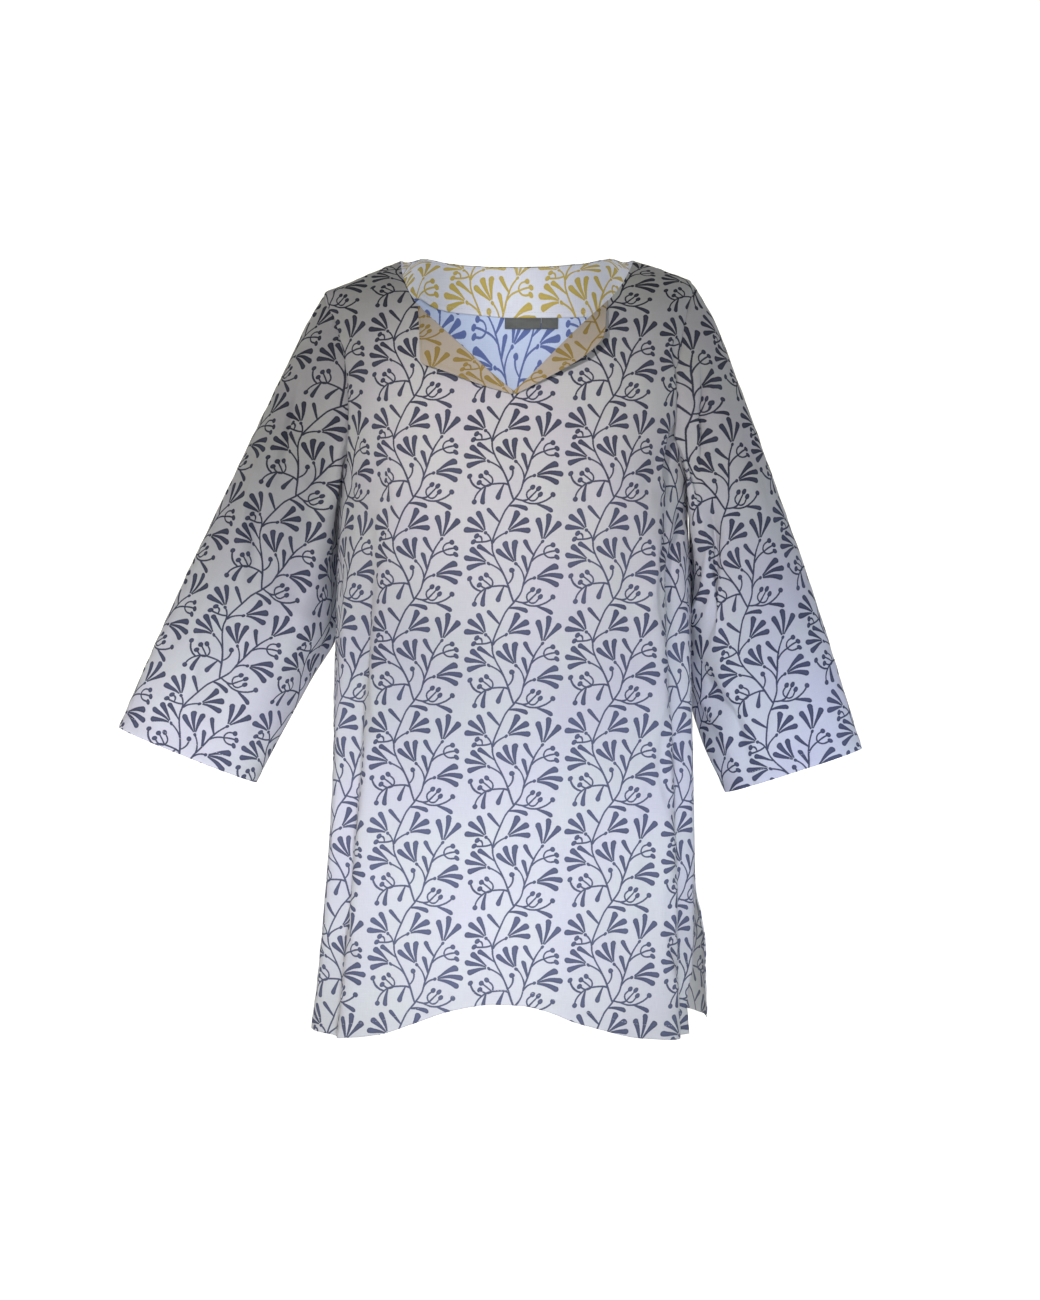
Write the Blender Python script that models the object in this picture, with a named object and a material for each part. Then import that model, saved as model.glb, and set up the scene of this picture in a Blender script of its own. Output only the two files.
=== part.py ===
"""A hollow tunic top in printed cotton, as it is worn, with nobody in it.

The frame is the wearer's: +Z up, the front faces -Y and the wearer's left arm is on +X.
The origin lies midway between the two points where the shoulder seams meet the neckline.
Sizes are in millimetres, and angles run round the body from 0 at the centre front to
180 at the centre back, negative on the wearer's right.
"""
import math

import bmesh
import bpy
import numpy as np

MM = 0.001

WALL = 1.3
SEAM_GAP = 0.3
LAPEL_GAP = 0.6
FACING_GAP = 1.2
SIDE_SEAM = 90.0
STEP_ANGLE = 0.5
STEP_HEIGHT = 0.5
SHARP_ANGLE = 50.0

# Level rings round the body: half width on each side of the centre, depth before and
# behind the side seams, and how square the ring is (2 is an ellipse).
RING_COLUMNS = ("height", "right", "left", "front", "back", "square")
RINGS = (
    (8, 96, 98, 1, 1, 2.3),
    (0, 113, 119, 7, 6, 2.3),
    (-6, 127, 138, 27, 20, 2.3),
    (-12, 141, 154, 39, 29, 2.3),
    (-22, 163, 177, 52, 42, 2.3),
    (-34, 189, 185, 66, 54, 2.3),
    (-48, 192, 187, 80, 66, 2.3),
    (-80, 191, 188, 99, 84, 2.3),
    (-110, 188, 186, 110, 94, 2.3),
    (-138, 185, 183, 118, 100, 2.3),
    (-190, 180, 178, 127, 105, 2.35),
    (-242, 175, 173, 130, 104, 2.4),
    (-300, 176, 175, 129, 101, 2.5),
    (-400, 179, 177, 122, 97, 2.55),
    (-500, 181, 179, 117, 98, 2.6),
    (-600, 186, 181, 114, 102, 2.6),
    (-690, 193, 181, 113, 107, 2.6),
    (-780, 203, 183, 113, 110, 2.6),
)

# The cloth behind the neck rides up towards the nape.
NAPE_LIFT = 50.0
NAPE_DEPTH = 68.0
NAPE_HALF_WIDTHS = {"right": (90.0, 142.0), "left": (96.0, 142.0)}
NAPE_FULL = -55.0
NAPE_END = -175.0

# Boundaries are tables by row of the panel's grid. A neckline gives the distance from
# the centre, an armhole the depth from the shoulder and side seams.
NECK_COLUMNS = ("row", "right", "right_height", "left", "left_height")
FRONT_NECK = (
    (0, 113, 0, 119, 0),
    (1, 112, -5, 117.5, -4),
    (2, 110.5, -13, 114.5, -11),
    (4, 104, -32, 106, -27),
    (6, 91.6, -51.5, 91, -46),
    (8, 71, -72, 71, -65),
    (10, 45, -96, 45, -91),
    (12, 16, -123, 16, -121),
    (13, 0, -136, 0, -136),
)
BACK_NECK = (
    (0, 113, 0, 119, 0),
    (1, 111, -1.5, 116, -1.5),
    (2, 107, -5, 112, -5),
    (3, 100, -13, 106, -14),
    (4, 90, -25, 96, -25),
    (5, 79, -36, 83, -36),
    (6, 65, -44, 66, -44),
    (8, 33, -49, 33, -49),
    (9, 16, -50, 16, -50),
    (10, 0, -50, 0, -50),
)
ARMHOLE_COLUMNS = ("row", "depth", "right_height", "left_height")
FRONT_ARMHOLE = (
    (0, 0, -34, -22),
    (1, 10, -37, -26),
    (3, 28, -48, -38),
    (5, 43, -64, -57),
    (8, 58, -96, -91),
    (11, 65, -134, -132),
    (14, 62, -175, -175),
    (16, 49, -205, -206),
    (17, 36, -221, -222),
    (18, 19, -235, -236),
    (19, 0, -242, -243),
)
BACK_ARMHOLE = (
    (0, 0, -34, -22),
    (1, 11, -38, -27),
    (3, 31, -54, -45),
    (6, 48, -92, -88),
    (9, 53, -136, -135),
    (11, 50, -168, -168),
    (13, 42, -200, -200),
    (14, 34, -216, -217),
    (15, 18, -234, -235),
    (16, 0, -242, -243),
)

# Rows of the centre line below the neckline.
CENTRE_COLUMNS = ("row", "height")
FRONT_CENTRE = ((13, -136), (16, -186), (19, -232), (34, -728))
BACK_CENTRE = ((10, -50), (13, -120), (16, -208), (28, -745))
FRONT_SIDE_ROWS = ((19, -242.5), (34, -766))
BACK_SIDE_ROWS = ((16, -242.5), (28, -758))

# The hems: height by distance from the centre, across the whole panel.
EDGE_COLUMNS = ("across", "height")
HEM_LEVEL = -750.0
FRONT_HEM = (
    (-202, -762), (-176, -766), (-153, -763), (-130, -759), (-100, -748), (-57, -733),
    (-20, -727), (8, -728), (32, -734), (59, -745), (88, -754), (117, -762), (150, -766),
    (181, -767),
)
BACK_HEM = ((-203, -761), (-140, -754), (-60, -747), (40, -745), (120, -751), (184, -759))

# Side vents: how far each edge swings off the side seam's line, in degrees.
VENT_COLUMNS = ("height", "front_right", "front_left", "back_right", "back_left")
VENTS = (
    (-603, 0, 0, 0, 0),
    (-640, 1, 5, 2, 0),
    (-690, 2, 12, 5, 0),
    (-736, 3, 18, 8, 1),
    (-775, 3, 17, 9, 2),
)

# Folds of the body. A ridge has a positive depth and a trough a negative one. Each
# drifts from its top angle to its foot angle, swells from top to full and dies away
# between fade and foot, which lie below the hem where the fold runs out of it.
FOLD_COLUMNS = (
    "panel", "top_angle", "foot_angle", "top", "full", "fade", "foot", "depth", "half_width",
)
FOLDS = (
    ("front", -37, -49, -130, -420, -900, -990, 9.0, 13),
    ("front", -48, -62, -170, -400, -900, -990, -9.0, 12),
    ("front", -61, -75, -230, -380, -900, -990, 4.0, 12),
    ("front", 45, 53, -140, -380, -900, -990, 9.0, 13),
    ("front", 56, 65, -170, -400, -900, -990, -8.0, 12),
    ("front", 68, 72, -250, -420, -520, -690, 4.0, 12),
    ("front", -13, -19, -240, -560, -900, -990, -3.0, 15),
    ("front", 21, 24, -280, -600, -900, -990, -2.5, 15),
    ("front", 4, 2, -330, -640, -900, -990, 2.5, 12),
    ("front", 63, 66, -120, -200, -215, -300, -5.0, 12),
    ("front", -60, -64, -120, -195, -215, -300, -4.0, 12),
    ("front", -34, -30, -150, -200, -230, -330, 4.0, 16),
    ("front", 33, 30, -150, -200, -230, -330, 4.0, 16),
    ("back", -152, -148, -230, -480, -900, -990, 8.0, 13),
    ("back", -133, -128, -260, -480, -900, -990, -8.0, 11),
    ("back", -114, -110, -330, -520, -900, -990, 5.0, 11),
    ("back", 156, 153, -210, -500, -900, -990, 7.0, 13),
    ("back", 137, 131, -240, -460, -900, -990, -8.0, 11),
    ("back", 117, 113, -300, -520, -900, -990, 5.0, 11),
    ("back", 176, 178, -300, -560, -900, -990, -4.0, 15),
    ("back", 126, 128, -60, -110, -170, -250, -4.0, 15),
    ("back", -126, -128, -60, -110, -170, -250, -4.0, 15),
    ("back", 96, 96, -606, -690, -900, -990, 13.0, 22),
    ("back", -96, -96, -606, -720, -900, -990, -5.0, 20),
)

# Sleeves: the line of each section from the outer silhouette to the inner one, the half
# depth before and behind it, and how far the inner side is tucked back behind the body,
# at even shares of the sleeve's length.
SECTION_COLUMNS = ("outer", "outer_height", "inner", "inner_height", "depth", "tuck")
RIGHT_SECTIONS = (
    (190, -35, 175, -243, 62, 0),
    (205, -60, 177, -257, 65, 3),
    (233, -118, 177.5, -281, 58, 14),
    (262, -178, 176, -306, 50, 28),
    (291, -238, 175, -336, 44, 38),
    (322, -302, 179, -373, 40, 38),
    (350, -362, 204, -418, 37, 22),
    (375, -418, 232, -470, 34, 8),
    (395, -465, 258, -520, 31, 0),
)
LEFT_SECTIONS = (
    (182, -23, 173, -244, 60, 0),
    (200, -55, 176, -259, 64, 3),
    (224, -118, 176.8, -290, 57, 14),
    (244, -175, 176.4, -325, 50, 34),
    (264, -232, 175, -362, 44, 46),
    (285, -290, 174, -400, 40, 48),
    (306, -352, 178, -438, 37, 42),
    (326, -415, 190, -482, 34, 20),
    (348, -486, 212, -530, 31, 0),
)
SLEEVE_SQUARE = 2.6
TUCK_START = 0.5
CAP_FADE = 0.5
UNDERARM_TURN = (-185.0, -242.0)
SLEEVE_RINGS = 12
SLEEVE_SPREAD = 1.15

# Folds of the sleeves, by angle round the sleeve (0 on its outer line, 90 in front)
# and by share of its length.
SLEEVE_FOLD_COLUMNS = (
    "side", "top_angle", "foot_angle", "top", "full", "fade", "foot", "depth", "half_width",
)
SLEEVE_FOLDS = (
    ("left", 128, 142, 0.03, 0.20, 0.60, 0.90, 6.0, 22),
    ("left", 104, 112, 0.03, 0.20, 0.50, 0.80, -5.0, 20),
    ("left", 62, 60, 0.10, 0.40, 0.70, 1.10, 3.0, 24),
    ("left", -110, -120, 0.05, 0.30, 0.60, 0.95, -5.0, 24),
    ("left", -60, -66, 0.20, 0.50, 0.80, 1.10, 4.0, 24),
    ("right", 126, 138, 0.03, 0.20, 0.60, 0.90, 5.0, 22),
    ("right", 102, 108, 0.03, 0.22, 0.55, 0.85, -5.0, 20),
    ("right", 58, 66, 0.15, 0.45, 0.75, 1.10, 3.5, 24),
    ("right", -108, -118, 0.05, 0.30, 0.60, 0.95, -5.0, 24),
    ("right", -56, -62, 0.20, 0.50, 0.80, 1.10, 4.0, 24),
)

FRONT_COLUMNS_PER_SIDE = 17
BACK_COLUMNS_PER_SIDE = 14
SPREAD = {"front": 1.12, "back": 1.25}

# Lapels: the front facing turned out along the neckline's lower rows. The free edge is
# given beside each hinge point, with how far the edge stands off the front.
LAPEL_COLUMNS = ("row", "across", "height", "stand")
RIGHT_LAPEL = (
    (6, -92.5, -54.5, 0.4),
    (7, -90.5, -84, 0.8),
    (8, -89, -107, 1.2),
    (9, -72, -114.5, 1.4),
    (10, -53, -122, 1.6),
    (11, -34, -129, 1.6),
    (12, -15, -134.5, 1.0),
    (13, -1.5, -138.5, 0.5),
)
LEFT_LAPEL = (
    (6, 90.5, -49.5, 1.0),
    (7, 87.5, -64, 5.0),
    (8, 85, -84, 9.0),
    (9, 73, -99, 8.0),
    (10, 59, -109, 6.0),
    (11, 42, -118.5, 4.0),
    (12, 22, -128.5, 2.0),
    (13, 2, -138.5, 0.5),
)
LAPEL_STEPS = 6
LAPEL_CURL = 1.5

# The back neck facing: its lower edge by distance from the centre.
FACING_EDGE = (
    (-153, -17), (-143, -28), (-129, -43), (-110, -66), (-76, -85), (-35, -88.5), (0, -90),
    (36, -90), (80, -89.5), (107, -72), (128, -46), (149, -27), (161, -14.5),
)
FACING_STEPS = 4
FACING_EASE = 1.2
FACING_SPANS = 24

# Bare woven tabs that hang under the facing: centre, width and drop.
LABEL_COLUMNS = ("across", "width", "drop")
LABELS = {"label_main": (9.0, 37.0, 7.0), "label_size": (36.5, 17.0, 7.0)}
LABEL_TOP = -90.8
LABEL_WALL = 0.8
LABEL_EASE = 0.6
LABEL_POINTS = {"across": 5, "down": 3}

# The front facing below the slit, inside the front.
INNER_FACING = {"half_width": 50.0, "top": -141.0, "foot": -196.0, "spans": 8, "steps": 4}

COLOURS = {
    "front_panel": (0.62, 0.62, 0.68),
    "back_panel": (0.60, 0.60, 0.67),
    "sleeve_right": (0.61, 0.61, 0.68),
    "sleeve_left": (0.60, 0.61, 0.67),
    "lapel_right": (0.72, 0.64, 0.45),
    "lapel_left": (0.70, 0.62, 0.42),
    "facing_front": (0.74, 0.67, 0.50),
    "facing_back": (0.78, 0.73, 0.60),
    "label_main": (0.30, 0.30, 0.28),
    "label_size": (0.31, 0.31, 0.29),
}
CLOTH_ROUGHNESS = 0.85


def column(table, names, name):
    """One named column of a table, as an array."""
    place = names.index(name)
    return np.array([row[place] for row in table], dtype=float)


def smooth(stations, values, at):
    """A curve through a table's values that never swings past them."""
    order = np.argsort(stations)
    stations = np.asarray(stations, dtype=float)[order]
    values = np.asarray(values, dtype=float)[order]
    gaps = np.diff(stations)
    slopes = np.diff(values) / gaps
    tangents = np.empty_like(values)
    tangents[0] = slopes[0]
    tangents[-1] = slopes[-1]
    before = slopes[:-1]
    after = slopes[1:]
    together = before * after > 0
    mean = 2.0 * before * after / np.where(together, before + after, 1.0)
    tangents[1:-1] = np.where(together, mean, 0.0)
    at = np.clip(np.asarray(at, dtype=float), stations[0], stations[-1])
    cell = np.clip(np.searchsorted(stations, at) - 1, 0, len(gaps) - 1)
    share = (at - stations[cell]) / gaps[cell]
    rise = share * share * (3.0 - 2.0 * share)
    leave = share * (1.0 - share) ** 2 * gaps[cell] * tangents[cell]
    arrive = share * share * (share - 1.0) * gaps[cell] * tangents[cell + 1]
    return values[cell] + (values[cell + 1] - values[cell]) * rise + leave + arrive


def ramp(start, end, at):
    """0 before start and 1 after end, with soft ends."""
    share = np.clip((np.asarray(at, dtype=float) - start) / (end - start), 0.0, 1.0)
    return share * share * (3.0 - 2.0 * share)


def unit(vectors):
    length = np.linalg.norm(vectors, axis=-1, keepdims=True)
    return vectors / np.maximum(length, 1e-9)


def ring(name, height):
    return smooth(column(RINGS, RING_COLUMNS, "height"), column(RINGS, RING_COLUMNS, name), height)


def bare_body(angle, height):
    """The body's surface without its folds."""
    sine = np.sin(np.radians(angle))
    cosine = np.cos(np.radians(angle))
    power = 2.0 / ring("square", height)
    half_width = np.where(sine < 0, ring("right", height), ring("left", height))
    depth = np.where(cosine > 0, ring("front", height), ring("back", height))
    x = half_width * np.sign(sine) * np.abs(sine) ** power
    y = -depth * np.sign(cosine) * np.abs(cosine) ** power
    fade = 1.0 - ramp(-NAPE_FULL, -NAPE_END, -height)
    outwards = np.where(x < 0, ramp(*NAPE_HALF_WIDTHS["right"], -x), ramp(*NAPE_HALF_WIDTHS["left"], x))
    lift = NAPE_LIFT * ramp(0.0, NAPE_DEPTH, y) * fade * (1.0 - outwards)
    return np.stack((x, y, height + lift), axis=-1)


def normals_of(surface, angle, height):
    """Outward normals of a surface given by angle and height."""
    ahead = surface(angle + STEP_ANGLE, height)
    behind = surface(angle - STEP_ANGLE, height)
    above = surface(angle, height + STEP_HEIGHT)
    below = surface(angle, height - STEP_HEIGHT)
    return unit(np.cross(ahead - behind, above - below))


def swell(row, names, along, rising):
    """How much of a fold's depth is there, from its top to its foot."""
    sign = 1.0 if rising else -1.0
    start = ramp(sign * row[names.index("top")], sign * row[names.index("full")], sign * along)
    end = ramp(sign * row[names.index("fade")], sign * row[names.index("foot")], sign * along)
    return start * (1.0 - end)


def fold_depth(panel, angle, height):
    """The sum of one panel's folds, outwards."""
    total = np.zeros(np.broadcast(angle, height).shape)
    for row in FOLDS:
        fold = dict(zip(FOLD_COLUMNS, row))
        if fold["panel"] != panel:
            continue
        drift = ramp(-fold["top"], -HEM_LEVEL, -height)
        centre = fold["top_angle"] + (fold["foot_angle"] - fold["top_angle"]) * drift
        away = (angle - centre + 180.0) % 360.0 - 180.0
        shape = np.clip(1.0 - (away / fold["half_width"]) ** 2, 0.0, None) ** 2
        total = total + fold["depth"] * shape * swell(row, FOLD_COLUMNS, height, False)
    return total


def body(panel, angle, height):
    """Points and outward normals of a body panel, folds and all."""
    angle = np.asarray(angle, dtype=float)
    height = np.asarray(height, dtype=float)

    def folded(at_angle, at_height):
        push = fold_depth(panel, at_angle, at_height)[..., None]
        return bare_body(at_angle, at_height) + push * normals_of(bare_body, at_angle, at_height)

    return folded(angle, height), normals_of(folded, angle, height)


def angle_across(x, height, behind):
    """The angle of the body at a distance from the centre."""
    width = np.where(np.asarray(x) < 0, ring("right", height), ring("left", height))
    sine = np.clip(np.abs(x) / width, 0.0, 1.0) ** (ring("square", height) / 2.0)
    angle = np.degrees(np.arcsin(sine))
    if behind:
        angle = 180.0 - angle
    return np.where(np.asarray(x) < 0, -angle, angle)


def angle_at_depth(depth, height, behind):
    """The angle of the body at a depth from the side seam's plane."""
    reach = ring("back" if behind else "front", height)
    cosine = np.clip(np.asarray(depth) / reach, 0.0, 1.0) ** (ring("square", height) / 2.0)
    angle = np.degrees(np.arccos(cosine))
    return 180.0 - angle if behind else angle


PANELS = {
    "front": {
        "behind": False, "neck": FRONT_NECK, "armhole": FRONT_ARMHOLE,
        "centre": FRONT_CENTRE, "side": FRONT_SIDE_ROWS, "hem": FRONT_HEM,
    },
    "back": {
        "behind": True, "neck": BACK_NECK, "armhole": BACK_ARMHOLE,
        "centre": BACK_CENTRE, "side": BACK_SIDE_ROWS, "hem": BACK_HEM,
    },
}


def inner_boundary(panel, side, rows):
    """Angle and height of the neckline's rows, then of the centre line's."""
    sizes = PANELS[panel]
    neck = sizes["neck"]
    sign = -1.0 if side == "right" else 1.0
    stations = column(neck, NECK_COLUMNS, "row")
    across = smooth(stations, column(neck, NECK_COLUMNS, side), rows)
    height = smooth(stations, column(neck, NECK_COLUMNS, side + "_height"), rows)
    angle = angle_across(sign * across, height, sizes["behind"])
    angle = sign * np.abs(angle)
    centre = sizes["centre"]
    below = smooth(column(centre, CENTRE_COLUMNS, "row"), column(centre, CENTRE_COLUMNS, "height"), rows)
    on_centre = rows >= centre[0][0]
    straight = sign * 180.0 if sizes["behind"] else 0.0
    return np.where(on_centre, straight, angle), np.where(on_centre, below, height)


def outer_boundary(panel, side, rows):
    """Angle and height of the armhole's rows, then of the side seam's."""
    sizes = PANELS[panel]
    hole = sizes["armhole"]
    sign = -1.0 if side == "right" else 1.0
    stations = column(hole, ARMHOLE_COLUMNS, "row")
    depth = smooth(stations, column(hole, ARMHOLE_COLUMNS, "depth"), rows)
    height = smooth(stations, column(hole, ARMHOLE_COLUMNS, side + "_height"), rows)
    angle = angle_at_depth(depth, height, sizes["behind"])
    seam = sizes["side"]
    below = smooth(column(seam, CENTRE_COLUMNS, "row"), column(seam, CENTRE_COLUMNS, "height"), rows)
    on_seam = rows > seam[0][0]
    swing_name = panel + "_" + side
    swing = smooth(column(VENTS, VENT_COLUMNS, "height"), column(VENTS, VENT_COLUMNS, swing_name), below)
    seam_angle = SIDE_SEAM + swing if sizes["behind"] else SIDE_SEAM - swing
    return sign * np.where(on_seam, seam_angle, angle), np.where(on_seam, below, height)


def half_grid(panel, side, columns):
    """Angles and heights of one half of a panel, rows down and columns outwards."""
    sizes = PANELS[panel]
    last = sizes["side"][-1][0]
    rows = np.arange(last + 1, dtype=float)
    share = np.linspace(0.0, 1.0, columns + 1)[None, :] ** SPREAD[panel]
    inner_angle, inner_height = inner_boundary(panel, side, rows)
    outer_angle, outer_height = outer_boundary(panel, side, rows)
    angle = inner_angle[:, None] + (outer_angle - inner_angle)[:, None] * share
    height = inner_height[:, None] + (outer_height - inner_height)[:, None] * share
    across = bare_body(angle[-1], np.full(columns + 1, HEM_LEVEL))[:, 0]
    hem = smooth(column(sizes["hem"], EDGE_COLUMNS, "across"),
                 column(sizes["hem"], EDGE_COLUMNS, "height"), across)
    underarm = sizes["side"][0][0]
    settle = ramp(underarm, last, rows)[:, None]
    return angle, height + settle * (hem - height[-1])[None, :]


def stitch_halves(panel, columns):
    """Both halves of a panel, joined down the centre line."""
    centre_row = PANELS[panel]["centre"][0][0]
    angles, heights, index = [], [], {}
    for side in ("right", "left"):
        angle, height = half_grid(panel, side, columns)
        rows, across = angle.shape
        for row in range(rows):
            for col in range(across):
                shared = side == "left" and col == 0 and row >= centre_row
                if shared:
                    index[side, row, col] = index["right", row, 0]
                    continue
                index[side, row, col] = len(angles)
                angles.append(angle[row, col])
                heights.append(height[row, col])
    faces = []
    for side in ("right", "left"):
        for row in range(rows - 1):
            for col in range(across - 1):
                corners = [(row, col), (row, col + 1), (row + 1, col + 1), (row + 1, col)]
                face = [index[(side,) + corner] for corner in corners]
                faces.append(face if side == "right" else face[::-1])
    return np.array(angles), np.array(heights), faces


def grid_faces(rows, columns, closed=False):
    """Quads of a grid of points, with its columns joined round if closed."""
    faces = []
    spans = columns if closed else columns - 1
    for row in range(rows - 1):
        for col in range(spans):
            after = (col + 1) % columns
            faces.append([row * columns + col, row * columns + after,
                          (row + 1) * columns + after, (row + 1) * columns + col])
    return faces


def rim_edges(faces):
    """Edges that only one face uses, in that face's own direction."""
    seen = {}
    for face in faces:
        for start, end in zip(face, face[1:] + face[:1]):
            key = (min(start, end), max(start, end))
            seen.setdefault(key, []).append((start, end))
    return [uses[0] for uses in seen.values() if len(uses) == 1]


def material_of(name):
    material = bpy.data.materials.new(name + "_material")
    material.use_nodes = True
    shader = material.node_tree.nodes["Principled BSDF"]
    shader.inputs["Base Color"].default_value = (*COLOURS[name], 1.0)
    shader.inputs["Roughness"].default_value = CLOTH_ROUGHNESS
    shader.inputs["Metallic"].default_value = 0.0
    return material


def wall_object(name, outer, inner, faces):
    """One closed wall between two layers of points that share their faces."""
    count = len(outer)
    shell = [tuple(face) for face in faces]
    shell += [tuple(point + count for point in reversed(face)) for face in faces]
    for start, end in rim_edges(faces):
        shell.append((end, start, start + count, end + count))
    mesh = bpy.data.meshes.new(name)
    points = np.concatenate((outer, inner)) * MM
    mesh.from_pydata([tuple(point) for point in points], [], shell)
    shaped = bmesh.new()
    shaped.from_mesh(mesh)
    bmesh.ops.recalc_face_normals(shaped, faces=shaped.faces)
    shaped.to_mesh(mesh)
    shaped.free()
    mesh.materials.append(material_of(name))
    mesh.shade_smooth()
    mesh.set_sharp_from_angle(angle=math.radians(SHARP_ANGLE))
    piece = bpy.data.objects.new(name, mesh)
    bpy.context.scene.collection.objects.link(piece)
    return piece


def panel_shift(panel):
    """Half the seam's gap, forwards for the front and backwards for the back."""
    return np.array((0.0, SEAM_GAP / 2.0 if PANELS[panel]["behind"] else -SEAM_GAP / 2.0, 0.0))


def body_panel(name, panel, columns):
    angles, heights, faces = stitch_halves(panel, columns)
    outer, normals = body(panel, angles, heights)
    outer = outer + panel_shift(panel)
    return wall_object(name, outer, outer - WALL * normals, faces)


def armhole_loop(side):
    """The armhole from the shoulder down the front and up the back, with its normals."""
    points, normals = [], []
    for panel in ("front", "back"):
        rows = np.arange(PANELS[panel]["armhole"][-1][0] + 1, dtype=float)
        angle, height = outer_boundary(panel, side, rows)
        place, normal = body(panel, angle, height)
        if panel == "front":
            points.append(place)
            normals.append(normal)
        else:
            points.append(place[-2:0:-1])
            normals.append(normal[-2:0:-1])
    return np.concatenate(points), np.concatenate(normals)


def section(side, share, psi):
    """Points of the sleeve's plain sections at angles round it."""
    table = RIGHT_SECTIONS if side == "right" else LEFT_SECTIONS
    sign = -1.0 if side == "right" else 1.0
    stations = np.linspace(0.0, 1.0, len(table))

    def size(name):
        return smooth(stations, column(table, SECTION_COLUMNS, name), share)

    outer = np.stack((sign * size("outer"), size("outer_height")), axis=-1)
    inner = np.stack((sign * size("inner"), size("inner_height")), axis=-1)
    power = 2.0 / SLEEVE_SQUARE
    along = np.sign(np.cos(psi)) * np.abs(np.cos(psi)) ** power
    front = np.sign(np.sin(psi)) * np.abs(np.sin(psi)) ** power
    middle = (outer + inner) / 2.0
    half = (outer - inner) / 2.0
    flat = middle + half * along[..., None]
    depth = size("tuck") * ramp(TUCK_START, 1.0, -along) - size("depth") * front
    return np.stack((flat[..., 0], depth, flat[..., 1]), axis=-1)


def sleeve_fold_depth(side, psi, share):
    total = np.zeros(np.broadcast(psi, share).shape)
    for row in SLEEVE_FOLDS:
        fold = dict(zip(SLEEVE_FOLD_COLUMNS, row))
        if fold["side"] != side:
            continue
        centre = fold["top_angle"] + (fold["foot_angle"] - fold["top_angle"]) * share
        away = (np.degrees(psi) - centre + 180.0) % 360.0 - 180.0
        shape = np.clip(1.0 - (away / fold["half_width"]) ** 2, 0.0, None) ** 2
        total = total + fold["depth"] * shape * swell(row, SLEEVE_FOLD_COLUMNS, share, True)
    return total


def tube_normals(points):
    """Outward normals of a grid whose columns run round a tube."""
    around = np.roll(points, -1, axis=1) - np.roll(points, 1, axis=1)
    down = np.gradient(points, axis=0)
    normals = unit(np.cross(around, down))
    centre = points.mean(axis=1, keepdims=True)
    return normals * np.sign(np.sum(normals * (points - centre), axis=-1).mean())


def sleeve(name, side):
    """A sleeve set into its armhole, narrowing to an open cuff."""
    loop, loop_normals = armhole_loop(side)
    tangent = unit(np.roll(loop, -1, axis=0) - np.roll(loop, 1, axis=0))
    into_hole = unit(np.cross(loop_normals, tangent))
    middle = loop.mean(axis=0)
    into_hole = into_hole * np.sign(np.sum(into_hole * (middle - loop), axis=1).mean())
    turn = ramp(-UNDERARM_TURN[0], -UNDERARM_TURN[1], -loop[:, 2]) * math.pi / 2.0
    turn = turn[:, None]
    start = loop + SEAM_GAP * (into_hole + np.sin(turn) * loop_normals)
    start_normals = unit(np.cos(turn) * loop_normals - np.sin(turn) * into_hole)

    zero = np.zeros(len(loop))
    top = section(side, zero, zero)[0]
    bottom = section(side, zero, zero + math.pi)[0]
    spine = (top - bottom) / 2.0
    rise = (start - (top + bottom) / 2.0) @ spine / (spine @ spine)
    table = RIGHT_SECTIONS if side == "right" else LEFT_SECTIONS
    psi = np.arctan2(-start[:, 1] / table[0][SECTION_COLUMNS.index("depth")], rise)
    departure = start - section(side, zero, psi)

    shares = np.linspace(0.0, 1.0, SLEEVE_RINGS + 1) ** SLEEVE_SPREAD
    share, around = np.meshgrid(shares, psi, indexing="ij")
    points = section(side, share, around)
    points = points + (1.0 - ramp(0.0, CAP_FADE, share))[..., None] * departure[None]
    folds = sleeve_fold_depth(side, around, share)[..., None]
    points = points + folds * tube_normals(points)
    points[0] = start
    normals = tube_normals(points)
    normals[0] = start_normals
    faces = grid_faces(points.shape[0], points.shape[1], closed=True)
    outer = points.reshape(-1, 3)
    inner = (points - WALL * normals).reshape(-1, 3)
    return wall_object(name, outer, inner, faces)


def lapel(name, side, table):
    """The facing turned out over the front along the fold beside the slit."""
    rows = column(table, LAPEL_COLUMNS, "row")
    hinge_angle, hinge_height = inner_boundary("front", side, rows)
    hinge = bare_body(hinge_angle, hinge_height)
    free_across = column(table, LAPEL_COLUMNS, "across")
    free_height = column(table, LAPEL_COLUMNS, "height")
    stand = column(table, LAPEL_COLUMNS, "stand")
    share = np.linspace(0.0, 1.0, LAPEL_STEPS + 1)[:, None]
    across = hinge[:, 0] + (free_across - hinge[:, 0]) * share
    height = hinge_height + (free_height - hinge_height) * share
    angle = angle_across(across, height, False)
    place, normal = body("front", angle, height)
    place = place + panel_shift("front")
    clear = LAPEL_GAP + stand * share ** LAPEL_CURL
    under = place + clear[..., None] * normal
    over = under + WALL * normal
    faces = grid_faces(len(share), len(rows))
    return wall_object(name, over.reshape(-1, 3), under.reshape(-1, 3), faces)


def inside_layer(name, panel, angle, height, wall, ease=0.0):
    """A wall that lies inside a body panel, eased off it towards its lower edge."""
    place, normal = body(panel, angle, height)
    place = place + panel_shift(panel)
    drop = np.linspace(0.0, 1.0, angle.shape[0])[:, None, None]
    near = place - (WALL + FACING_GAP + ease * np.sqrt(drop)) * normal
    far = near - wall * normal
    rows, columns = angle.shape
    faces = grid_faces(rows, columns)
    return wall_object(name, near.reshape(-1, 3), far.reshape(-1, 3), faces)


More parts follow.
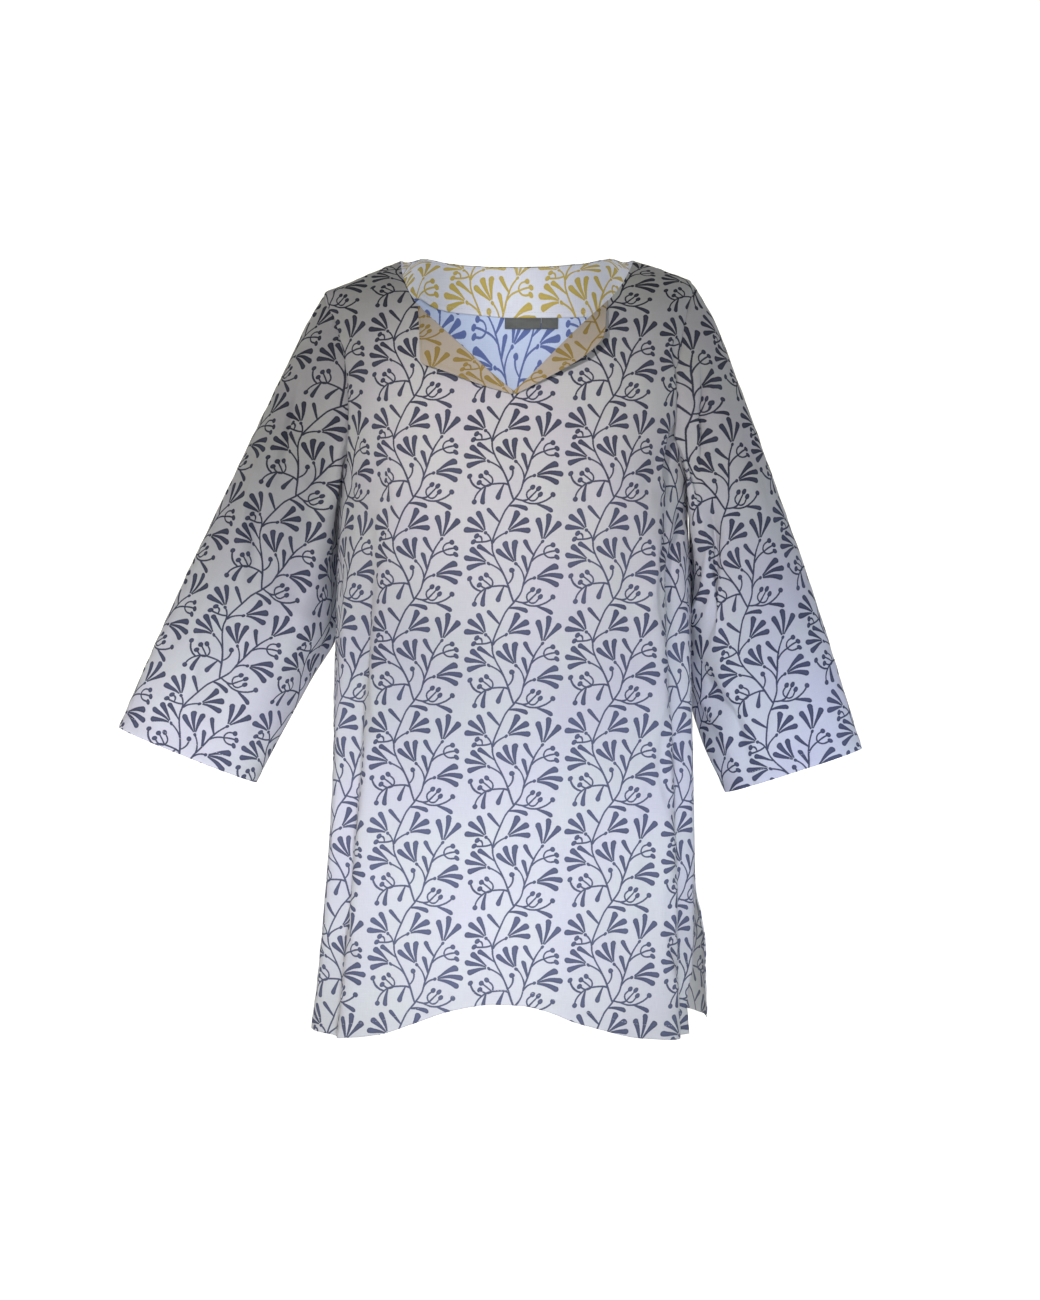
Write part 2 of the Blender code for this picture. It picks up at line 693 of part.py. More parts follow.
def back_facing(name):
    """The band inside the back neck, from shoulder seam to shoulder seam."""
    last = BACK_NECK[-1][0]
    rows = np.linspace(0.0, 1.0, FACING_SPANS // 2 + 1) * last
    right_angle, right_height = inner_boundary("back", "right", rows)
    left_angle, left_height = inner_boundary("back", "left", rows)
    right_angle[-1] = -180.0
    top_angle = np.concatenate((right_angle, left_angle[-2::-1] - 360.0))
    top_height = np.concatenate((right_height, left_height[-2::-1]))
    span = np.linspace(0.0, 1.0, len(top_angle))
    edge_across = column(FACING_EDGE, EDGE_COLUMNS, "across")
    edge_height = column(FACING_EDGE, EDGE_COLUMNS, "height")
    edge_span = np.linspace(0.0, 1.0, len(FACING_EDGE))
    across = smooth(edge_span, edge_across, span)
    low_height = smooth(edge_span, edge_height, span)
    low_angle = angle_across(across, low_height, True)
    low_angle = np.where(low_angle > 0, low_angle - 360.0, low_angle)
    share = np.linspace(0.0, 1.0, FACING_STEPS + 1)[:, None]
    angle = top_angle + (low_angle - top_angle) * share
    height = top_height + (low_height - top_height) * share
    return inside_layer(name, "back", angle, height, WALL, FACING_EASE)


def front_facing(name):
    """The part of the front facing that stays inside, below the slit."""
    sizes = INNER_FACING
    across = np.linspace(-sizes["half_width"], sizes["half_width"], sizes["spans"] + 1)
    height = np.linspace(sizes["top"], sizes["foot"], sizes["steps"] + 1)
    grid_height, grid_across = np.meshgrid(height, across, indexing="ij")
    angle = angle_across(grid_across, grid_height, False)
    return inside_layer(name, "front", angle, grid_height, WALL)


def label(name, sizes):
    """A bare woven tab against the inside of the back, under the facing."""
    tab = dict(zip(LABEL_COLUMNS, sizes))
    across = np.linspace(-0.5, 0.5, LABEL_POINTS["across"]) * tab["width"] + tab["across"]
    height = np.linspace(LABEL_TOP, LABEL_TOP - tab["drop"], LABEL_POINTS["down"])
    grid_height, grid_across = np.meshgrid(height, across, indexing="ij")
    angle = angle_across(grid_across, grid_height, True)
    angle = np.where(angle > 0, angle - 360.0, angle)
    return inside_layer(name, "back", angle, grid_height, LABEL_WALL, LABEL_EASE)


def main():
    for leftover in list(bpy.data.objects):
        bpy.data.objects.remove(leftover, do_unlink=True)
    body_panel("front_panel", "front", FRONT_COLUMNS_PER_SIDE)
    body_panel("back_panel", "back", BACK_COLUMNS_PER_SIDE)
    sleeve("sleeve_right", "right")
    sleeve("sleeve_left", "left")
    lapel("lapel_right", "right", RIGHT_LAPEL)
    lapel("lapel_left", "left", LEFT_LAPEL)
    back_facing("facing_back")
    front_facing("facing_front")
    for name, sizes in LABELS.items():
        label(name, sizes)


main()
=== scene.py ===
import math

import bpy
import numpy as np
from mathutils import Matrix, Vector


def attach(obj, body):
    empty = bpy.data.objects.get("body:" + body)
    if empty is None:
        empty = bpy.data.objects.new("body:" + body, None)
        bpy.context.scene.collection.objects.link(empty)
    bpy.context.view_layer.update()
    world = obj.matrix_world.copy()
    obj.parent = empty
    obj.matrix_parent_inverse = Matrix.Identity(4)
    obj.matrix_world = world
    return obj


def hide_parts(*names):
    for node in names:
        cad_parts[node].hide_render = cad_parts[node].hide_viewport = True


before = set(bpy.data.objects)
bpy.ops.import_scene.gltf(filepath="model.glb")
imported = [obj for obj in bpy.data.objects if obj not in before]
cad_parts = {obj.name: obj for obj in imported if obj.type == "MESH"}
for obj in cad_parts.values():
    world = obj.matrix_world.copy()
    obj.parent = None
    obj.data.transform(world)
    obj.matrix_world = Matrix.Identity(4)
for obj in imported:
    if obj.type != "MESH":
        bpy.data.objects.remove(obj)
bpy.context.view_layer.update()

# Sizes below are in millimetres and the finished meshes are in metres. Angles run round
# the body from 0 at the centre front to 180 at the centre back, negative on the
# wearer's right, which is -X.
mm = 0.001
wholeTurn = 6.283
signs = {"right": -1.0, "left": 1.0}
seeds = {"front": 0.0, "back": 1.3, "right": 2.1, "left": 3.4,
         "backFacing": 3.0, "frontFacing": 4.0, "label": 5.0}

bodyForm = {
    "ringNames": ("height", "right", "left", "front", "back", "square"),
    "rings": (
        (8, 96, 98, 1, 1, 2.3),
        (0, 113, 119, 7, 6, 2.3),
        (-6, 127, 138, 27, 20, 2.3),
        (-12, 141, 154, 39, 29, 2.3),
        (-22, 163, 177, 52, 42, 2.3),
        (-34, 189, 185, 66, 54, 2.3),
        (-48, 192, 187, 80, 66, 2.3),
        (-80, 191, 188, 99, 84, 2.3),
        (-110, 188, 186, 110, 94, 2.3),
        (-138, 185, 183, 118, 100, 2.3),
        (-190, 180, 178, 127, 105, 2.35),
        (-242, 175, 173, 130, 104, 2.4),
        (-300, 176, 175, 129, 101, 2.5),
        (-400, 179, 177, 122, 97, 2.55),
        (-500, 181, 179, 117, 98, 2.6),
        (-600, 186, 181, 114, 102, 2.6),
        (-690, 193, 181, 113, 107, 2.6),
        (-780, 203, 183, 113, 110, 2.6),
    ),
    "napeLift": 50.0,
    "napeDepth": 68.0,
    "napeSoftness": 0.4,
    "napeHalfWidths": {"right": (90.0, 142.0), "left": (96.0, 142.0)},
    "napeHeights": (-55.0, -175.0),
    "hemLevel": -750.0,
    "clothThickness": 0.7,
}

# Vents: how far each edge swings off the side seam's line, in degrees.
vents = {
    "names": ("height", "frontright", "frontleft", "backright", "backleft"),
    "rows": (
        (-603, 0, 0, 0, 0),
        (-640, 1, 5, 2, 0),
        (-690, 2, 12, 5, 0),
        (-736, 3, 18, 8, 1),
        (-775, 3, 17, 9, 2),
    ),
    "top": -603.0,
    "radius": 150.0,
}

neckNames = ("row", "right", "rightHeight", "left", "leftHeight")
armholeNames = ("row", "depth", "rightHeight", "leftHeight")
foldNames = ("topAngle", "footAngle", "top", "full", "fade", "foot", "depth", "halfWidth")
creaseNames = ("fromX", "fromZ", "toX", "toZ", "depth", "halfWidth")
creaseForm = {"wander": 0.06, "bends": 5.1, "softness": 0.55, "full": 0.35, "fade": 0.6}

frontPanel = {
    "behind": False,
    "neck": (
        (0, 113, 0, 119, 0),
        (1, 112, -5, 117.5, -4),
        (2, 110.5, -13, 114.5, -11),
        (4, 104, -32, 106, -27),
        (6, 91.6, -51.5, 91, -46),
        (8, 71, -72, 71, -65),
        (10, 45, -96, 45, -91),
        (12, 16, -123, 16, -121),
        (13, 0, -136, 0, -136),
    ),
    "armhole": (
        (0, 0, -34, -22),
        (1, 10, -37, -26),
        (3, 28, -48, -38),
        (5, 43, -64, -57),
        (8, 58, -96, -91),
        (11, 65, -134, -132),
        (14, 62, -175, -175),
        (16, 49, -205, -206),
        (17, 36, -221, -222),
        (18, 19, -235, -236),
        (19, 0, -242, -243),
    ),
    "centre": ((13, -136), (16, -186), (19, -232), (34, -728)),
    "side": ((19, -242.5), (34, -766)),
    "hem": (
        (-202, -762), (-176, -766), (-153, -763), (-130, -759), (-100, -748), (-57, -733),
        (-20, -727), (8, -728), (32, -734), (59, -745), (88, -754), (117, -762),
        (150, -766), (181, -767),
    ),
    "folds": (
        (-37, -49, -130, -420, -900, -990, 9.0, 13),
        (-48, -62, -170, -400, -900, -990, -9.0, 12),
        (-61, -75, -230, -380, -900, -990, 4.0, 12),
        (45, 53, -140, -380, -900, -990, 9.0, 13),
        (56, 65, -170, -400, -900, -990, -8.0, 12),
        (68, 72, -250, -420, -520, -690, 4.0, 12),
        (-13, -19, -240, -560, -900, -990, -3.0, 15),
        (21, 24, -280, -600, -900, -990, -2.5, 15),
        (4, 2, -330, -640, -900, -990, 2.5, 12),
        (63, 66, -120, -200, -215, -300, -5.0, 12),
        (-60, -64, -120, -195, -215, -300, -4.0, 12),
        (-34, -30, -150, -200, -230, -330, 4.0, 16),
        (33, 30, -150, -200, -230, -330, 4.0, 16),
    ),
    "creases": (
        (-150, -150, -112, -250, -1.6, 12), (-158, -185, -130, -300, 1.4, 12),
        (-160, -232, -118, -218, -1.0, 10), (148, -165, 122, -262, -1.8, 12),
        (160, -205, 138, -322, 1.5, 11), (156, -243, 112, -226, -1.1, 10),
        (-60, -178, -44, -330, 0.9, 22), (38, -190, 52, -352, 0.8, 22),
        (-98, -352, -104, -560, -1.2, 16), (-70, -470, -84, -720, 1.3, 18),
        (-28, -420, -34, -640, -0.9, 18), (12, -520, 6, -725, 1.1, 16),
        (48, -430, 58, -690, -1.0, 18), (86, -372, 92, -610, 1.2, 16),
        (106, -520, 114, -752, -1.3, 14), (-118, -600, -130, -758, -1.1, 12),
        (-40, -250, 44, -262, -0.5, 14), (-20, -345, 84, -332, 0.5, 12),
        (-92, -412, -6, -398, -0.5, 12), (30, -480, 104, -495, 0.5, 13),
        (-110, -660, -20, -672, -0.5, 13), (10, -610, 92, -600, -0.5, 12),
        (-130, -60, -88, -98, 0.9, 12), (-146, -90, -104, -138, -0.9, 12),
        (128, -52, 92, -92, -0.9, 12), (146, -92, 112, -150, 0.9, 12),
        (-172, -420, -166, -560, 1.6, 8), (-168, -600, -176, -740, -1.6, 8),
        (150, -420, 154, -560, 1.5, 8), (160, -600, 164, -740, -1.5, 8),
        (166, -70, 157, -160, -5.0, 7), (157, -150, 158, -240, -8.0, 8), (158, -230, 163, -350, -6.0, 7),
        (-172, -110, -172, -250, -3.0, 6),
        (150, -230, 150, -430, -3.4, 8), (150, -390, 154, -600, -3.4, 8), (153, -560, 167, -760, -3.4, 8),
        (126, -220, 128, -440, 2.2, 11), (128, -400, 134, -610, 2.4, 12), (133, -570, 150, -765, 2.2, 12),
        (-129, -170, -128, -320, -2.4, 8), (-128, -290, -147, -510, -3.2, 9), (-145, -470, -166, -765, -3.2, 9),
        (-112, -190, -112, -330, 1.6, 10), (-112, -300, -128, -520, 2.0, 12), (-126, -480, -146, -765, 2.0, 12),
    ),
    "columns": 84,
    "spread": 1.12,
    "upperSteps": 5,
    "lowerSteps": 9,
    "flat": (0.55, 0.80),
    "area": 0.345,
}

backPanel = {
    "behind": True,
    "neck": (
        (0, 113, 0, 119, 0),
        (1, 111, -1.5, 116, -1.5),
        (2, 107, -5, 112, -5),
        (3, 100, -13, 106, -14),
        (4, 90, -25, 96, -25),
        (5, 79, -36, 83, -36),
        (6, 65, -44, 66, -44),
        (8, 33, -49, 33, -49),
        (9, 16, -50, 16, -50),
        (10, 0, -50, 0, -50),
    ),
    "armhole": (
        (0, 0, -34, -22),
        (1, 11, -38, -27),
        (3, 31, -54, -45),
        (6, 48, -92, -88),
        (9, 53, -136, -135),
        (11, 50, -168, -168),
        (13, 42, -200, -200),
        (14, 34, -216, -217),
        (15, 18, -234, -235),
        (16, 0, -242, -243),
    ),
    "centre": ((10, -50), (13, -120), (16, -208), (28, -745)),
    "side": ((16, -242.5), (28, -758)),
    "hem": ((-203, -761), (-140, -754), (-60, -747), (40, -745), (120, -751), (184, -759)),
    "folds": (
        (-152, -148, -230, -480, -900, -990, 8.0, 13),
        (-133, -128, -260, -480, -900, -990, -8.0, 11),
        (-114, -110, -330, -520, -900, -990, 5.0, 11),
        (156, 153, -210, -500, -900, -990, 7.0, 13),
        (137, 131, -240, -460, -900, -990, -8.0, 11),
        (117, 113, -300, -520, -900, -990, 5.0, 11),
        (176, 178, -300, -560, -900, -990, -4.0, 15),
        (126, 128, -60, -110, -170, -250, -4.0, 15),
        (-126, -128, -60, -110, -170, -250, -4.0, 15),
        (96, 96, -606, -690, -900, -990, 13.0, 22),
        (-96, -96, -606, -720, -900, -990, -5.0, 20),
    ),
    "creases": (
        (-128, -120, -96, -236, -1.5, 13), (126, -110, 100, -240, -1.4, 13),
        (-70, -90, -52, -240, 1.0, 20), (60, -96, 40, -262, 1.0, 20),
        (-24, -210, -30, -460, -1.0, 18), (22, -300, 30, -560, 1.0, 18),
        (-96, -320, -104, -560, 1.3, 15), (92, -340, 98, -640, -1.2, 15),
        (-60, -480, -66, -730, -1.2, 16), (56, -560, 64, -735, 1.2, 14),
        (-120, -560, -128, -745, 1.4, 12), (122, -470, 128, -700, 1.2, 12),
        (-100, -200, -20, -214, -0.5, 12), (10, -262, 96, -250, 0.5, 12),
        (-90, -420, 4, -408, 0.5, 12), (-20, -640, 84, -652, -0.5, 12),
        (150, -330, 158, -520, -1.5, 8), (-150, -340, -156, -540, 1.5, 8),
    ),
    "columns": 72,
    "spread": 1.25,
    "upperSteps": 5,
    "lowerSteps": 11,
    "flat": (0.53, 0.79),
    "area": 0.35,
}

panels = {"front": frontPanel, "back": backPanel}


# sizes read from the tables
def column(table, names, name):
    place = names.index(name)
    return np.array([row[place] for row in table], dtype=float)


def smooth(stations, values, at):  # a curve through a table that never swings past it
    stations = np.asarray(stations, dtype=float)
    order = np.argsort(stations)
    stations = stations[order]
    values = np.asarray(values, dtype=float)[order]
    gaps = np.diff(stations)
    slopes = np.diff(values) / gaps
    before = slopes[:-1]
    after = slopes[1:]
    together = before * after > 0
    tangents = np.empty_like(values)
    tangents[0] = slopes[0]
    tangents[-1] = slopes[-1]
    tangents[1:-1] = np.where(together, 2.0 * before * after / np.where(together, before + after, 1.0), 0.0)
    at = np.clip(np.asarray(at, dtype=float), stations[0], stations[-1])
    cell = np.clip(np.searchsorted(stations, at) - 1, 0, len(gaps) - 1)
    share = (at - stations[cell]) / gaps[cell]
    rise = share * share * (3.0 - 2.0 * share)
    leave = share * (1.0 - share) ** 2 * gaps[cell] * tangents[cell]
    arrive = share * share * (share - 1.0) * gaps[cell] * tangents[cell + 1]
    return values[cell] + (values[cell + 1] - values[cell]) * rise + leave + arrive


def ramp(start, end, at):
    share = np.clip((np.asarray(at, dtype=float) - start) / (end - start), 0.0, 1.0)
    return share * share * (3.0 - 2.0 * share)


def unit(vectors):
    return vectors / np.maximum(np.linalg.norm(vectors, axis=-1, keepdims=True), 1e-9)


def lengths(points):  # how far along a line of points each of them lies
    return np.concatenate(((0.0,), np.cumsum(np.linalg.norm(np.diff(points, axis=0), axis=1))))


def readTable(table, names, along, name, at):
    return smooth(column(table, names, along), column(table, names, name), at)


def readPairs(pairs, at):
    return smooth(*np.array(pairs, dtype=float).T, at)


def ring(name, height):
    return readTable(bodyForm["rings"], bodyForm["ringNames"], "height", name, height)


# the body's surface
def bareBody(angle, height):
    sine = np.sin(np.radians(angle))
    cosine = np.cos(np.radians(angle))
    power = 2.0 / ring("square", height)
    halfWidth = np.where(sine < 0, ring("right", height), ring("left", height))
    depth = np.where(cosine > 0, ring("front", height), ring("back", height))
    x = halfWidth * np.sign(sine) * np.abs(sine) ** power
    y = -depth * np.sign(cosine) * np.abs(cosine) ** power
    full, end = bodyForm["napeHeights"]
    fade = 1.0 - ramp(-full, -end, -height)
    reach = bodyForm["napeHalfWidths"]
    outwards = np.where(x < 0, ramp(*reach["right"], -x), ramp(*reach["left"], x))
    rise = np.clip(y / bodyForm["napeDepth"], 0.0, 1.0)
    rise = rise + (ramp(0.0, 1.0, rise) - rise) * bodyForm["napeSoftness"]
    lift = bodyForm["napeLift"] * rise * fade * (1.0 - outwards)
    return np.stack((x, y, height + lift), axis=-1)


def normalsOf(surface, angle, height, step=0.5):
    around = surface(angle + step, height) - surface(angle - step, height)
    upwards = surface(angle, height + step) - surface(angle, height - step)
    return unit(np.cross(around, upwards))


def swell(fold, along):
    sign = 1.0 if fold["foot"] > fold["top"] else -1.0
    start = ramp(sign * fold["top"], sign * fold["full"], sign * along)
    return start * (1.0 - ramp(sign * fold["fade"], sign * fold["foot"], sign * along))


def foldDepth(rows, angle, along, drift):  # drift gives how far a fold's centre has moved from its top
    total = np.zeros(np.broadcast(angle, along).shape)
    for row in rows:
        fold = dict(zip(foldNames, row))
        centre = fold["topAngle"] + (fold["footAngle"] - fold["topAngle"]) * drift(fold)
        away = (angle - centre + 180.0) % 360.0 - 180.0
        shape = np.clip(1.0 - (away / fold["halfWidth"]) ** 2, 0.0, None) ** 2
        total = total + fold["depth"] * shape * swell(fold, along)
    return total


def creaseDepth(rows, across, up):  # soft creases along straight lines on the cloth
    total = np.zeros(across.shape)
    for row in rows:
        crease = dict(zip(creaseNames, row))
        runX = crease["toX"] - crease["fromX"]
        runZ = crease["toZ"] - crease["fromZ"]
        length = math.hypot(runX, runZ)
        along = ((across - crease["fromX"]) * runX + (up - crease["fromZ"]) * runZ) / length ** 2
        off = ((across - crease["fromX"]) * runZ - (up - crease["fromZ"]) * runX) / length
        wander = np.sin(along * creaseForm["bends"] + crease["depth"] * 3.0)
        off = off + creaseForm["wander"] * length * wander
        body = np.exp(-(off / (creaseForm["softness"] * crease["halfWidth"])) ** 2)
        ends = ramp(0.0, creaseForm["full"], along) * (1.0 - ramp(creaseForm["fade"], 1.0, along))
        total = total + crease["depth"] * body * ends
    return total


def bodySurface(panel, angle, height):
    angle = np.asarray(angle, dtype=float)
    height = np.asarray(height, dtype=float)

    def folded(atAngle, atHeight):
        bare = bareBody(atAngle, atHeight)
        push = foldDepth(panels[panel]["folds"], atAngle, atHeight,
                         lambda fold: ramp(-fold["top"], -bodyForm["hemLevel"], -atHeight))
        push = push + creaseDepth(panels[panel]["creases"], bare[..., 0], atHeight)
        return bare + push[..., None] * normalsOf(bareBody, atAngle, atHeight)

    return folded(angle, height), normalsOf(folded, angle, height)


def angleAcross(x, height, behind):
    width = np.where(np.asarray(x) < 0, ring("right", height), ring("left", height))
    sine = np.clip(np.abs(x) / width, 0.0, 1.0) ** (ring("square", height) / 2.0)
    angle = np.degrees(np.arcsin(sine))
    if behind:
        angle = 180.0 - angle
    return np.where(np.asarray(x) < 0, -angle, angle)


def angleAtDepth(depth, height, behind):
    reach = ring("back" if behind else "front", height)
    cosine = np.clip(np.asarray(depth) / reach, 0.0, 1.0) ** (ring("square", height) / 2.0)
    angle = np.degrees(np.arccos(cosine))
    return 180.0 - angle if behind else angle


# the edges of the front and back
def innerEdge(panel, side, rows):
    sizes = panels[panel]
    sign = signs[side]
    across = readTable(sizes["neck"], neckNames, "row", side, rows)
    height = readTable(sizes["neck"], neckNames, "row", side + "Height", rows)
    angle = sign * np.abs(angleAcross(sign * across, height, sizes["behind"]))
    onCentre = rows >= sizes["centre"][0][0]
    straight = sign * 180.0 if sizes["behind"] else 0.0
    return np.where(onCentre, straight, angle), np.where(onCentre, readPairs(sizes["centre"], rows), height)


def outerEdge(panel, side, rows):
    sizes = panels[panel]
    depth = readTable(sizes["armhole"], armholeNames, "row", "depth", rows)
    height = readTable(sizes["armhole"], armholeNames, "row", side + "Height", rows)
    angle = angleAtDepth(depth, height, sizes["behind"])
    below = readPairs(sizes["side"], rows)
    swing = readTable(vents["rows"], vents["names"], "height", panel + side, below)
    seamAngle = 90.0 + swing if sizes["behind"] else 90.0 - swing
    onSeam = rows > sizes["side"][0][0]
    return signs[side] * np.where(onSeam, seamAngle, angle), np.where(onSeam, below, height)


def halfGrid(panel, side, rows):
    sizes = panels[panel]
    last = sizes["side"][-1][0]
    share = np.linspace(0.0, 1.0, sizes["columns"] + 1)[None, :] ** sizes["spread"]
    innerAngle, innerHeight = innerEdge(panel, side, rows)
    outerAngle, outerHeight = outerEdge(panel, side, rows)
    angle = innerAngle[:, None] + (outerAngle - innerAngle)[:, None] * share
    height = innerHeight[:, None] + (outerHeight - innerHeight)[:, None] * share
    across = bareBody(angle[-1], np.full(share.shape[1], bodyForm["hemLevel"]))[:, 0]
    settle = ramp(sizes["side"][0][0], last, rows)[:, None]
    return angle, height + settle * (readPairs(sizes["hem"], across) - height[-1])[None, :]


# where a point lies on the flat cloth, in millimetres
clothGrid = {"angles": 181, "heights": 140, "top": 6.0, "foot": -800.0,
             "middle": {"front": 0.0, "back": 180.0}, "downAngle": {"front": 40.0, "back": 136.0}}


def clothTable(panel):
    middle = clothGrid["middle"][panel]
    angles = np.linspace(middle - 90.0, middle + 90.0, clothGrid["angles"])
    heights = np.linspace(clothGrid["top"], clothGrid["foot"], clothGrid["heights"])
    grid = bodySurface(panel, angles[None, :] + 0.0 * heights[:, None], heights[:, None] + 0.0 * angles)[0]
    steps = np.linalg.norm(np.diff(grid, axis=1), axis=2)
    across = np.concatenate((np.zeros((len(heights), 1)), np.cumsum(steps, axis=1)), axis=1)
    centre = len(angles) // 2
    across = across - across[:, centre:centre + 1]
    down = lengths(bareBody(np.full(len(heights), clothGrid["downAngle"][panel]), heights))
    print(panel, "cloth measured, length", round(float(down[-1])))
    return angles, heights, across, down


def clothPlace(table, angle, height):
    angles, heights, across, down = table
    turned = np.where(angle < angles[0] - 1e-6, angle + 360.0, angle)
    col = np.clip((turned - angles[0]) / (angles[1] - angles[0]), 0, len(angles) - 1.001)
    row = np.clip((height - heights[0]) / (heights[1] - heights[0]), 0, len(heights) - 1.001)
    left = col.astype(int)
    top = row.astype(int)
    fx = col - left
    fy = row - top
    upper = across[top, left] * (1 - fx) + across[top, left + 1] * fx
    lower = across[top + 1, left] * (1 - fx) + across[top + 1, left + 1] * fx
    sideways = upper * (1 - fy) + lower * fy
    length = down[top] * (1 - fy) + down[top + 1] * fy
    return np.stack((sideways, -length), axis=-1)


# shells of cloth
def gridQuads(rows, columns):
    row, col = np.meshgrid(np.arange(rows - 1), np.arange(columns - 1), indexing="ij")
    first = row * columns + col
    return np.stack((first, first + 1, first + columns + 1, first + columns), axis=-1).reshape(-1, 4)


def rimEdges(quads):  # edges that only one face uses, in that face's own direction
    starts = quads.reshape(-1).astype(np.int64)
    ends = np.roll(quads, -1, axis=1).reshape(-1).astype(np.int64)
    key = np.minimum(starts, ends) * (quads.max() + 1) + np.maximum(starts, ends)
    first, count = np.unique(key, return_index=True, return_counts=True)[1:]
    return first[count == 1]


def bakeCharts(place):  # where the outer and the inner layer lie on the bake's map
    low = place.min(axis=0)
    width, tall = place.max(axis=0) - low
    edge = 0.02 * max(width, tall)
    beside = np.array((width + 2 * edge, 0.0)) if tall > width else np.array((0.0, tall + 2 * edge))
    whole = max((width + 2 * edge) + beside[0], (tall + 2 * edge) + beside[1])
    return (place - low + edge) / whole, beside / whole, 0.35 * edge / whole


def addObject(name, data):
    thing = bpy.data.objects.new(name, data)
    bpy.context.scene.collection.objects.link(thing)
    return thing


def makeShell(name, outer, inner, quads, place, placeQuads=None, paintedInkLight=None):
    # outer and inner are layers of points that share quads; place is the cloth's own map
    placeQuads = quads if placeQuads is None else placeQuads
    across = outer[quads[:, 2]] - outer[quads[:, 0]]
    other = outer[quads[:, 3]] - outer[quads[:, 1]]
    if np.sum(np.cross(across, other) * (outer - inner)[quads[:, 0]]) < 0:
        quads = quads[:, ::-1]
        placeQuads = placeQuads[:, ::-1]
    count = len(outer)
    rim = rimEdges(quads)
    start = quads.reshape(-1)[rim]
    end = np.roll(quads, -1, axis=1).reshape(-1)[rim]
    placeStart = placeQuads.reshape(-1)[rim]
    placeEnd = np.roll(placeQuads, -1, axis=1).reshape(-1)[rim]
    rims = np.stack((end, start, start + count, end + count), axis=1)
    faces = np.concatenate((quads, quads[:, ::-1] + count, rims))

    mesh = bpy.data.meshes.new(name)
    points = np.concatenate((outer, inner)) * mm
    mesh.vertices.add(len(points))
    mesh.vertices.foreach_set("co", points.reshape(-1))
    mesh.loops.add(faces.size)
    mesh.loops.foreach_set("vertex_index", faces.reshape(-1).astype(np.int32))
    mesh.polygons.add(len(faces))
    mesh.polygons.foreach_set("loop_start", np.arange(0, faces.size, 4, dtype=np.int32))
    mesh.polygons.foreach_set("use_smooth", np.ones(len(faces), dtype=bool))
    mesh.update(calc_edges=True)

    flat, beside, margin = bakeCharts(place)
    rimPlace = np.stack((placeEnd, placeStart, placeStart, placeEnd), axis=1)
    clothPlaces = np.concatenate((place[placeQuads], place[placeQuads[:, ::-1]], place[rimPlace])) * mm
    away = flat[placeStart] + flat[placeEnd] - 2.0 * flat.mean(axis=0)
    away = unit(away)[:, None, :] * margin * np.array((0.0, 0.0, 1.0, 1.0))[None, :, None]
    bakePlaces = np.concatenate((flat[placeQuads], flat[placeQuads[:, ::-1]] + beside,
                                 flat[rimPlace] + away))
    clothMap = mesh.uv_layers.new(name="cloth")
    clothMap.data.foreach_set("uv", clothPlaces.reshape(-1))
    bakeMap = mesh.uv_layers.new(name="OFBake")
    bakeMap.data.foreach_set("uv", bakePlaces.reshape(-1))

    values = {"underside": np.concatenate((np.zeros(count), np.ones(count)))}
    if paintedInkLight is not None:
        values["paintedInkLight"] = np.concatenate((paintedInkLight, paintedInkLight))
    for key, value in values.items():
        layer = mesh.attributes.new(key, "FLOAT", "POINT")
        layer.data.foreach_set("value", value.astype(np.float32))
    return addObject(name, mesh)


def nearLine(points, line):  # distance to a line of points, and how far along it
    best = np.full(len(points), 1e9)
    along = np.zeros(len(points))
    starts = lengths(line)
    for place in range(len(line) - 1):
        run = line[place + 1] - line[place]
        share = np.clip(((points - line[place]) @ run) / max(run @ run, 1e-9), 0.0, 1.0)
        away = np.linalg.norm(points - line[place] - share[:, None] * run, axis=1)
        closer = away < best
        best = np.where(closer, away, best)
        along = np.where(closer, starts[place] + share * (starts[place + 1] - starts[place]), along)
    return best, along


def rumple(place, seed):  # the small uneven swells of washed cotton, in millimetres
    waves = ((41, 0.3, 0.16), (29, 1.5, 0.14), (23, 2.5, 0.12), (17, 0.9, 0.08), (13, 2.1, 0.06))
    total = np.zeros(len(place))
    for length, turn, height in waves:
        across = place[:, 0] * math.cos(turn + seed) + place[:, 1] * math.sin(turn + seed)
        other = place[:, 1] * math.cos(turn + seed) - place[:, 0] * math.sin(turn + seed)
        bend = 0.9 * np.sin(other * wholeTurn / (length * 2.7) + seed * 2.0 + length)
        total = total + height * np.sin(across * wholeTurn / length + bend * 1.6 + length)
    return total


def seamPush(distance, along, seed):  # a seam lies a little in, with small puckers
    dip = -seams["dip"] * np.exp(-(distance / seams["dipWidth"]) ** 2)
    pucker = np.sin(along * wholeTurn / seams["puckerLength"] + 1.7 * np.sin(along / 31.0 + seed))
    return dip + seams["pucker"] * pucker * np.exp(-(distance / seams["puckerWidth"]) ** 2)


def hemBand(distance):
    return 1.0 - ramp(hems["stitchLine"], hems["width"] + 1.5, distance)


def hemPush(distance, along, seed):  # the turned hem is raised, and its stitches pull it in
    band = hemBand(distance)
    line = np.exp(-((distance - hems["stitchLine"]) / hems["pullWidth"]) ** 2)
    pucker = np.sin(along * wholeTurn / hems["puckerLength"] + 1.9 * np.sin(along / 27.0 + seed))
    lean = np.sin(along * wholeTurn / (hems["puckerLength"] * 1.7) - distance * 0.25 + seed)
    return hems["raise"] * band - hems["pull"] * line + hems["pucker"] * band * (pucker + 0.7 * lean) / 2.0


seams = {"dip": 0.8, "dipWidth": 2.6, "pucker": 0.28, "puckerLength": 15.0, "puckerWidth": 8.0, "gap": 0.05}
hems = {"width": 15.0, "stitchLine": 14.0, "raise": 0.35, "pull": 0.45, "pullWidth": 1.6, "pucker": 0.55,
        "puckerLength": 21.0, "extra": 0.5}


